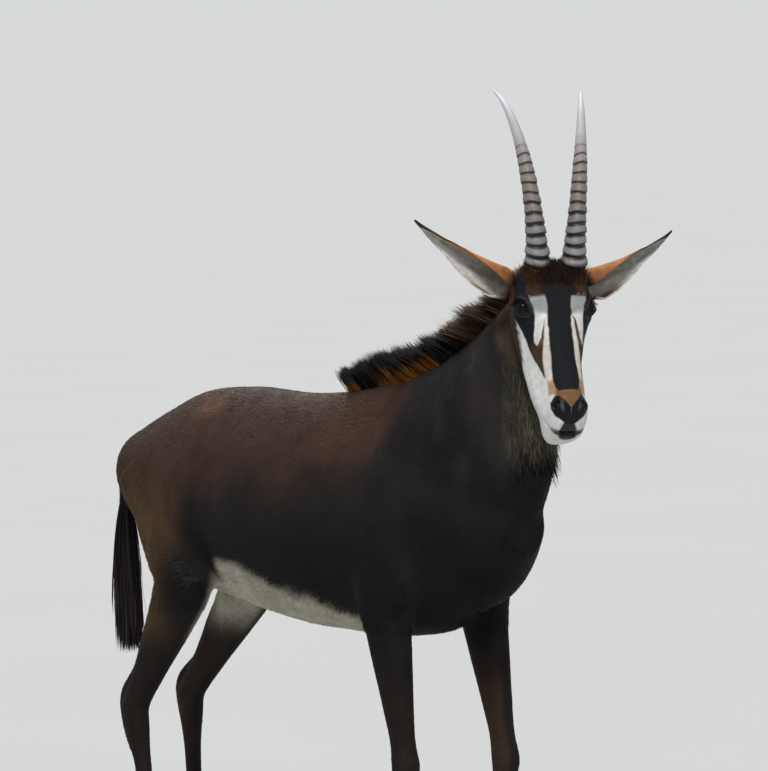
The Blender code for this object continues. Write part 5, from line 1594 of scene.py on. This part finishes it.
MANE_HAIRS = 15000
MANE_HEIGHT = 0.100
MANE_BLACK = (0.0050, 0.0042, 0.0042)
MANE_BROWN = (0.17, 0.098, 0.046)
MANE_RUST = (0.22, 0.082, 0.013)
crest = crest_line(400)
draw = np.random.default_rng(21)
count = int(MANE_HAIRS * COAT_SHARE)
at = np.sort(draw.random(count))
number = at * (len(crest) - 1)
below = np.minimum(number.astype(int), len(crest) - 2)
ahead = unit(np.gradient(crest, axis=0))[below]
roots = crest[below] + (crest[below + 1] - crest[below]) * (number - below)[:, None]
upward = unit(np.cross(ahead, ACROSS))
upward *= np.sign(upward[:, 2:3])
offset = np.clip(draw.normal(0.0, 0.0075, count), -0.018, 0.018)
LOCKS = 130
lock_number = (at * LOCKS + offset * 90 + draw.normal(0, 0.25, count)).astype(int) % LOCKS
lock_lean = np.clip(draw.normal(0.0, 9.0, LOCKS), -12, 12)[lock_number]
lock_reach = draw.uniform(0.86, 1.08, LOCKS)[lock_number]
lock_side = draw.normal(0.0, 0.10, LOCKS)[lock_number]
profile = (0.62 + 0.38 * np.sin(math.pi * np.minimum(1.0, at * 1.15 + 0.08))
           + 0.26 * within(roots[:, 0], 0.27, 0.47, 0.05))
height = MANE_HEIGHT * profile * lock_reach * draw.uniform(0.70, 1.04, count)
roots = roots + ACROSS * offset[:, None] - upward * (0.004 + 14 * offset[:, None] ** 2)
facing = unit(upward + ACROSS * (offset * 20 + lock_side)[:, None])
x = roots[:, 0]
rust = within(x, -0.125, -0.060, 0.010) + within(x, 0.010, 0.200, 0.015)
rust = np.clip(rust + 0.25 * grain(roots, 0.02, 31), 0, 1) * (rust > 0.02)
brown = within(x, 0.27, 0.48, 0.03) * np.clip(0.45 + 0.9 * grain(roots, 0.012, 32), 0, 1)
root_colours = repeated(MANE_BLACK, count) * 1.6
root_colours = paint(root_colours, MANE_BROWN, 0.9 * brown * within(x, 0.31, 0.47, 0.03))
root_colours = paint(root_colours, MANE_RUST, rust) * draw.uniform(0.6, 1.3, count)[:, None]
tip_colours = repeated(MANE_BLACK, count) * draw.uniform(0.8, 2.0, count)[:, None]
tip_colours = paint(tip_colours, MANE_BROWN, brown * draw.uniform(0.2, 1.0, count))
mane = tufts("mane", roots, facing, -ahead, height, draw.uniform(0.0016, 0.0030, count),
             np.radians(76 + lock_lean + draw.normal(0, 4, count)), draw, root_colours, tip_colours,
             stations=5, flatten=0.30, turn_dark=(0.32, 0.64), sink=0.006, twist=0.9)

# %% Fringe of the throat
FRINGE_DENSITY = 60000
throat = within(triangle_middles[:, 2], 1.12, 1.42, 0.03)
neck_side = np.interp(triangle_middles[:, 2], (1.10, 1.25, 1.40), (0.0, -0.008, -0.012))
throat *= soft(0.075, 0.035, np.abs(triangle_middles[:, 1] - neck_side))
throat *= (triangle_regions == 1) & (triangle_normals[:, 0] > -0.05)
roots, facing, draw = scatter(throat * FRINGE_DENSITY * COAT_SHARE, 41)
count = len(roots)
down = repeated((-0.05, 0.0, -1.0), count) + facing * 0.1
tan = np.array(THROAT_TAN) * draw.uniform(0.5, 1.5, count)[:, None]
tan = paint(tan, THROAT_PALE, (draw.random(count) < 0.15) * 0.6)
dark = soft(1.22, 1.13, roots[:, 2]) + soft(0.030, 0.070, np.abs(roots[:, 1])) * 0.8
tan = paint(tan, NECK_BLACK, dark)
fringe = tufts("throat_fringe", roots, facing, down, 0.036 * draw.uniform(0.6, 1.3, count),
               draw.uniform(0.0014, 0.0026, count), np.radians(draw.uniform(15, 38, count)),
               draw, tan * 0.6, tan, stations=4, flatten=0.75, sink=0.004, twist=0.8)

# %% Long hair of the tail
TAIL_END = 0.575
TAIL_HAIRS = 5200
TAIL_BROWN = (0.030, 0.018, 0.012)
tail_rows = smooth_rows([(*p, r) for p, r in zip(TAIL_LINE, TAIL_RADII)], 200)
tail_rows = tail_rows[tail_rows[:, 2] < 0.985]
draw = np.random.default_rng(51)
count = int(TAIL_HAIRS * COAT_SHARE)
row = tail_rows[(draw.random(count) ** 0.9 * (len(tail_rows) - 1)).astype(int)]
turn = draw.uniform(0, 2 * math.pi, count)
facing = np.stack((np.cos(turn), np.sin(turn), np.zeros(count)), axis=1)
roots = row[:, :3] + facing * row[:, 3:] * 0.8
length = np.minimum((roots[:, 2] - TAIL_END) * 0.99, 0.27) * draw.uniform(0.62, 1.0, count)
tail_colour = repeated(MANE_BLACK, count) * draw.uniform(0.9, 2.2, count)[:, None]
tail_colour = paint(tail_colour, TAIL_BROWN, draw.random(count) < 0.15)
lie = repeated((0.03, 0.0, -1.0), count) + facing * draw.normal(0.0, 0.02, count)[:, None]
tail_hair = tufts("tail_hair", roots, facing, lie, length, draw.uniform(0.0022, 0.0042, count),
                  np.radians(draw.uniform(6, 15, count)), draw, tail_colour, tail_colour * 1.3,
                  stations=6, flatten=1.25, sink=0.006, twist=0.9)

# %% [markdown]
# ## Horns
# A horn is a bony core in a sheath of horn. It is thick and deeply ringed near the root
# and smooth towards the tip, where it is paler. It is a loft along one bend, like the
# measured horn, with a ring profile between the stations: each ring rises steeply from a
# groove and falls away gently, and it stands out most at the front. The grooves are
# painted almost black as shade, and the crests of the rings pale as a painted highlight.

# %% Ringed horns
HORN_LENGTH = 0.525
HORN_YAW = math.radians(-37.3)
HORN_WIDTHS = np.array((
    (0.0, 0.060), (0.05, 0.049), (0.13, 0.0395), (0.22, 0.034), (0.30, 0.0265), (0.40, 0.0175),
    (0.525, 0.004),
))
HORN_RINGS = 13
HORN_RINGED = 0.300
# How far the root leans forward, how much the horn bends back, and its spread at the tip
HORN_LEAN = math.radians(-10.0)
HORN_BEND = math.radians(88.0)
HORN_SPREAD = 0.062
# How much deeper than wide it is, and how far the rings stand out, as a part of its radius
HORN_DEPTH = 1.22
RING_RISE = 0.12
HORN_GREY = (0.105, 0.098, 0.092)
HORN_BROWN = (0.15, 0.122, 0.100)
HORN_SMOOTH = (0.40, 0.385, 0.40)
HORN_TIP = (0.56, 0.56, 0.61)
HORN_FOOT = (0.020, 0.011, 0.007)
RIDGE_HIGHLIGHT = (0.26, 0.25, 0.245)
GROOVE_SHADE = (0.010, 0.008, 0.008)


def horn_shape(side):
    sign = SIGNS[side]
    ahead = np.array((math.cos(HORN_YAW), math.sin(HORN_YAW), 0.0))
    fine = np.linspace(0, HORN_LENGTH, 400)
    lean = HORN_LEAN + HORN_BEND * fine / HORN_LENGTH
    step = fine[1]
    heights = np.concatenate([[0], np.cumsum(np.cos(lean[:-1]) * step)])
    backs = np.concatenate([[0], np.cumsum(np.sin(lean[:-1]) * step)])
    root = head_point(-0.006, sign * 0.042 + 0.004, -0.010)
    at = np.concatenate((np.linspace(-0.020, HORN_RINGED + 0.01, 300),
                         np.linspace(HORN_RINGED + 0.012, HORN_LENGTH, 60)))
    height = np.where(at > 0, np.interp(at, fine, heights), at)
    back = np.interp(at, fine, backs)
    lean = np.interp(at, fine, lean)
    spread = HORN_SPREAD * (np.maximum(at, 0) / HORN_LENGTH) ** 1.3
    middle = root + UP * height[:, None] - ahead * back[:, None] + HEAD_SIDE * (sign * spread)[:, None]
    half = (np.interp(at, HORN_WIDTHS[:, 0], HORN_WIDTHS[:, 1]) / 2
            * np.interp(at, (-0.020, 0.006), (0.80, 1.0)))
    around = 44
    angle = 2 * math.pi * np.arange(around)[None, :] / around
    pitch = HORN_RINGED / HORN_RINGS
    wander = 0.0016 * np.sin(angle * 2 + at[:, None] * 40) + 0.0022 * np.cos(angle)
    phase = (at[:, None] - 0.004 + wander) / pitch
    ring_number = np.floor(phase)
    part = phase - ring_number
    bump = soft(0.04, 0.20, part) * soft(1.04, 0.50, part)
    ringed = soft(HORN_RINGED + 0.010, HORN_RINGED - 0.05, at)[:, None]
    fade = (1 - 0.50 * ring_number / HORN_RINGS) * ringed
    fade = fade * (at[:, None] > -0.004)
    uneven = 1 + 0.35 * np.sin(ring_number * 2.6 + sign)
    rise = fade * (1.35 * bump * uneven - 0.35)
    ridge = 1 + RING_RISE * rise * (0.72 + 0.45 * np.cos(angle))
    front = unit(ahead * np.cos(lean)[:, None] + UP * np.sin(lean)[:, None])
    deep = np.cos(angle) * half[:, None] * HORN_DEPTH * ridge
    rings = (middle[:, None, :] + front[:, None, :] * deep[..., None]
             + HEAD_SIDE * (np.sin(angle) * half[:, None] * ridge)[..., None])
    horn = ring_loft("horn_sheath_" + side, rings)
    # Painted shade: the grooves under the rings are painted almost black, wider low down
    wide = 0.13 * soft(8, 2, ring_number)
    low_sides = soft(0.22 + wide, 0.10 + wide, part) + soft(0.93 - wide, 0.99 - wide, part)
    groove_shade = np.clip(np.minimum(1.0, fade * 1.6) * low_sides, 0, 1).ravel()
    # Painted highlight: the crests of the rings are painted pale, as if lit from above
    ridge_highlight = bump * fade * (0.75 - 0.45 * within(at, 0.09, 0.20, 0.04)[:, None])
    up = np.repeat(at, around)
    add_attributes(horn, layered(len(up), HORN_GREY, (
        (HORN_BROWN, soft(0.06, 0.16, up)), (RIDGE_HIGHLIGHT, ridge_highlight.ravel()),
        (HORN_SMOOTH, soft(0.22, 0.34, up)), (HORN_TIP, soft(0.34, 0.50, up)),
        (GROOVE_SHADE, 0.95 * groove_shade), (HORN_FOOT, soft(0.016, 0.006, up)))))
    dress(horn, horn_finish)
    print(horn.name, len(horn.data.vertices), "points")
    return horn


horns = {side: horn_shape(side) for side in SIGNS}

# %% [markdown]
# ## Hooves
# An antelope stands on two toes, each in a pointed hoof with a sloping top, and carries
# two small dewclaws behind the fetlock. A hoof is lofted from the ground up, a little
# flared at the sole and ribbed where it has grown.

# %% Hooves and dewclaws
HOOF_WIDTH = 0.038


def hoof_shape(joints, sign):
    rings = []
    around = 48
    angle = 2 * math.pi * np.arange(around) / around
    for level in np.linspace(0, 1, 18):
        ripple = 0.006 * math.sin(level * 40) * (0.1 < level < 0.95)
        shrink = np.interp(level, (0.0, 0.5, 1.0), (1.0, 0.94, 0.84)) - ripple
        if level == 0.0:
            shrink = 0.985
        forward = 0.5 + 0.5 * np.cos(angle)
        taper = 1 - 0.55 * np.maximum(0.0, np.cos(angle)) ** 2
        hoof_x = HOOF_LENGTH * (forward * (1 - (1 - shrink) * 1.9) + (1 - shrink) * 0.15)
        wide = np.where(np.sin(angle) * sign > 0, 1.0, 0.75)
        hoof_y = HOOF_WIDTH / 2 * np.sin(angle) * taper * wide * (0.4 + 0.6 * shrink)
        top = HOOF_HEEL_HEIGHT + (HOOF_TOE_HEIGHT - HOOF_HEEL_HEIGHT) * hoof_x / HOOF_LENGTH
        rings.append(np.stack((hoof_x, hoof_y, level * top), axis=1))
    splay = sign * math.radians(5.0)
    ahead, aside = math.cos(splay), math.sin(splay)
    spin = np.array(((ahead, aside, 0), (-aside, ahead, 0), (0, 0, 1)))
    offset = np.array((0, sign * (HOOF_WIDTH / 2 * 0.75 + 0.0035), 0))
    return ring_loft("hoof", foot_heel(joints) + offset + np.array(rings) @ spin)


hooves = {}
for foot, side in LEG_NAMES:
    joints = LEGS[foot][side]
    toes = [hoof_shape(joints, sign) for sign in (1, -1)]
    upward, across, _ = square_axes((0.25, 0, 0.97), (0, 1, 0))
    claw_axes = (np.cross(across, upward), across, upward)
    for sign in (1, -1):
        middle = np.array(joints[3]) + (-0.027, sign * 0.015, -0.014)
        toes.append(ellipsoid("dewclaw", middle, (0.010, 0.009, 0.015), claw_axes))
    hoof = joined("hooves_%s_%s" % (foot, side), toes)
    dress(hoof, hoof_finish)
    hoof.data.set_sharp_from_angle(angle=math.radians(50))
    hooves[foot, side] = hoof
print("feet:", sorted(hooves))

# %% [markdown]
# ## Eyes
# The eye is a wet ball, very dark brown, with a pupil that is wider than it is high. A
# thick dark lid margin follows the lens-shaped opening on the ball, and stiff lashes
# stand along the upper lid. Without the margin and lashes an eye looks like a bead.

# %% Eyeballs, lid margins and lashes
EYE_BROWN = (0.0045, 0.0030, 0.0025)
IRIS = (0.007, 0.004, 0.003)
IRIS_RIM = (0.004, 0.003, 0.003)
PUPIL = (0.002, 0.002, 0.0025)
MARGIN_BLACK = (0.012, 0.011, 0.012)
LASH_BLACK = (0.004, 0.004, 0.004)
LASHES_EACH = 8


def eyeball(side):
    sign = SIGNS[side]
    middle, (gaze, corner, across) = eye_frame(sign)
    ball = ellipsoid("eyeball_" + side, middle, [EYE_RADIUS] * 3, (corner, across, gaze), 64, 48)
    rest = unit(points_of(ball) - middle)
    level = unit(HEAD_ALONG + HEAD_OUT * 0.5)
    high = unit(np.cross(gaze, level))
    level = np.cross(high, gaze)
    wide = np.hypot(rest @ level / 0.52, rest @ high / 0.30)
    ring = np.hypot(rest @ corner, rest @ across)
    bulge = 0.0011 * soft(0.66, 0.30, ring) * (rest @ gaze > 0)
    set_points(ball, points_of(ball) + rest * bulge[:, None])
    pupil = soft(1.08, 0.92, wide) * (rest @ gaze > 0)
    add_attributes(ball, layered(len(rest), EYE_BROWN, (
        (IRIS, within(ring, 0.42, 0.60, 0.06)), (IRIS_RIM, soft(0.60, 0.70, ring)), (PUPIL, pupil))))
    dress(ball, eye_finish)
    return ball


def lid_margin(side):
    """A thin wet roll along the edges of both lids, resting on the eyeball."""
    sign = SIGNS[side]
    middle, (gaze, _, _) = eye_frame(sign)
    rim = eyelid_rim(sign, 72) * 1.04
    depth = np.sqrt((EYE_RADIUS + 0.0016) ** 2 - np.minimum(np.sum(rim**2, axis=1), 0.00043))
    line = middle + rim + gaze * depth[:, None]
    forward = unit(np.roll(line, -1, axis=0) - np.roll(line, 1, axis=0))
    outside = unit(line - middle)
    sideways = np.cross(forward, outside)
    angle = 2 * math.pi * np.arange(10) / 10
    rings = (line[:, None, :] + 0.0017 * (outside[:, None, :] * np.cos(angle)[None, :, None]
                                          + sideways[:, None, :] * np.sin(angle)[None, :, None]))
    count, around = rings.shape[:2]
    first = np.arange(count * around).reshape(count, around)
    second = np.roll(first, -1, axis=1)
    quads = np.stack((first, second, np.roll(second, -1, axis=0), np.roll(first, -1, axis=0)), axis=-1)
    faces = quads.reshape(-1, 4).tolist()
    margin = outward(mesh_object("lid_margin_" + side, rings.reshape(-1, 3), faces))
    add_attributes(margin, repeated(MARGIN_BLACK, count * around), np.full(count * around, 0.9))
    dress(margin, hide)
    return margin, line, outside


def lashes(side):
    """Stiff dark hairs along the upper lid, and a few below."""
    sign = SIGNS[side]
    middle, (gaze, corner, _) = eye_frame(sign)
    margin, line, outside = lid_margin(side)
    top = unit(UP - gaze * (UP @ gaze))
    rise = (line - middle) @ top
    draw = np.random.default_rng(61 + sign)
    upper = np.nonzero(rise > 0.003)[0]
    lower = np.nonzero(rise < -0.006)[0]
    chosen = np.concatenate((np.repeat(upper, LASHES_EACH), lower))
    count = len(chosen)
    on_top = rise[chosen] > 0
    jitter = draw.normal(0, 0.0006, (count, 3))
    length = np.where(on_top, draw.uniform(0.013, 0.023, count), draw.uniform(0.003, 0.006, count))
    lean = (np.where(on_top, 0.25, -0.5)[:, None] * top
            + 0.25 * unit(line[chosen] - middle - gaze * 0.018))
    black = repeated(LASH_BLACK, count)
    hairs = tufts("lashes_" + side, line[chosen] + jitter, unit(outside[chosen] + 0.6 * lean),
                  unit(-top + 0.2 * corner), length, 0.0008, np.radians(78), draw, black, black,
                  stations=3, flatten=0.45, sink=0.0005, twist=1.2)
    return margin, hairs


eyes, margins, eyelashes = {}, {}, {}
for side in SIGNS:
    eyes[side] = eyeball(side)
    margins[side], eyelashes[side] = lashes(side)

# %% [markdown]
# ## Into the frame
# All pieces now move together by the one measured step, ride on the body of the frame,
# and stand for the solids that they replace.

# %% Placing, riding and replacing
FLESH = ["head", "nose", "neck_upper", "neck_lower", "chest", "barrel", "hindquarters", "tail_dock"]
for part in ("ear", "forearm", "knee", "fore_cannon", "fore_pastern",
             "gaskin", "hock", "hind_cannon", "hind_pastern"):
    FLESH += [part + "_left", part + "_right"]
placed = []


def place(piece, finish, *nodes):
    piece.data.transform(Matrix.Translation(Vector(SHIFT)))
    workshop.objects.unlink(piece)
    bpy.context.scene.collection.objects.link(piece)
    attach(piece, "root")
    if nodes:
        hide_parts(*nodes)
    placed.append(piece.name)


place(skin, "coat", *FLESH)
for piece in coat_pieces:
    place(piece, "ear" if piece.name == "coat_ears" else "coat")
place(forelock, "coat")
place(mane, "hair")
place(fringe, "hair")
place(tail_hair, "hair", "tail_tuft")
for side in SIGNS:
    place(horns[side], "horn", "horn_" + side)
    place(eyes[side], "eye", "eye_" + side)
    place(margins[side], "nose")
    place(eyelashes[side], "hair")
for (foot, side), hoof in hooves.items():
    toes = ["_".join((kind, foot, side, toe))
            for kind in ("hoof", "dewclaw") for toe in ("outer", "inner")]
    place(hoof, "hoof", *toes)
for leftover in list(workshop.objects):
    print("not used:", leftover.name)
    bpy.data.objects.remove(leftover)
print(len(placed), "pieces placed")

# %% [markdown]
# ## A plain studio
# The animal stands on a wide pale floor under soft light: a large lamp above and ahead of
# it like an overcast sky, a weaker one from behind that brightens the line of the back,
# and an even pale surrounding.

# %% Floor, light and surroundings
floor_mesh = bpy.data.meshes.new("floor")
FLOOR_REACH = 6000.0
floor_corners = [(x * FLOOR_REACH, y * FLOOR_REACH, 0.0)
                 for x, y in ((-1, -1), (1, -1), (1, 1), (-1, 1))]
floor_mesh.from_pydata(floor_corners, [], [(0, 1, 2, 3)])
floor = bpy.data.objects.new("floor", floor_mesh)
bpy.context.scene.collection.objects.link(floor)


def floor_look(wire):
    mottle = noise(wire, 0.9, 4.0)
    shade = mottle * 0.03 + 0.46
    grey = wire.node("ShaderNodeCombineColor", {}, {0: shade, 1: shade, 2: shade * 0.985})
    return {"Base Color": grey}


floor_finish = finish_named("pale_floor", floor_look, {"Roughness": 0.85, "Specular IOR Level": 0.2})
floor_mesh.materials.append(floor_finish)


def soft_lamp(name, toward_lamp, strength, width, colour):
    """A far, wide lamp: the same soft light everywhere on the floor."""
    lamp = bpy.data.objects.new(name, bpy.data.lights.new(name, "SUN"))
    lamp.data.energy = strength
    lamp.data.angle = math.radians(width)
    lamp.data.color = colour
    lamp.rotation_mode = "QUATERNION"
    lamp.rotation_quaternion = Vector(toward_lamp).to_track_quat("Z", "Y")
    bpy.context.scene.collection.objects.link(lamp)


soft_lamp("sky_lamp", (0.50, -0.62, 1.0), 2.4, 15.0, (1.0, 0.99, 0.97))
soft_lamp("back_lamp", (-0.70, 0.45, 0.85), 1.5, 30.0, (0.95, 0.98, 1.0))
surroundings = bpy.data.worlds.new("surroundings")
surroundings.use_nodes = True
glow = surroundings.node_tree.nodes["Background"].inputs
glow["Color"].default_value = (0.93, 0.96, 1.0, 1.0)
glow["Strength"].default_value = 0.50
bpy.context.scene.world = surroundings
bpy.context.scene.view_settings.view_transform = "Standard"

# %% [markdown]
# ## The camera
# The photograph was taken with a long lens from a little above the animal's middle,
# half from the front, so the camera stands far off and the lens is long. The size of the
# image is 768 by 771 points, and one long side of the sensor is 36 millimetres.

# %% Camera at the photograph's angle
CAMERA_TURN = math.radians(45.0)
CAMERA_RISE = math.radians(4.0)
CAMERA_AWAY = 13.5
# How high above the ground it aims, in metres, and its lens in millimetres
CAMERA_AIM = 1.287
CAMERA_LENS = 267.19
level = math.cos(CAMERA_RISE)
toward = np.array((math.sin(CAMERA_TURN) * level, -math.cos(CAMERA_TURN) * level,
                   math.sin(CAMERA_RISE)))
camera = bpy.data.objects.new("camera", bpy.data.cameras.new("camera"))
bpy.context.scene.collection.objects.link(camera)
camera.location = Vector(np.array((0, 0, CAMERA_AIM)) + SHIFT + toward * CAMERA_AWAY)
camera.rotation_mode = "QUATERNION"
camera.rotation_quaternion = Vector(-toward).to_track_quat("-Z", "Y")
camera.data.sensor_fit = "AUTO"
camera.data.sensor_width = 36.0
camera.data.lens = CAMERA_LENS
camera.data.clip_end = 20000.0
camera.data.dof.use_dof = False
bpy.context.scene.camera = camera
print("camera at", tuple(round(v, 2) for v in camera.location))
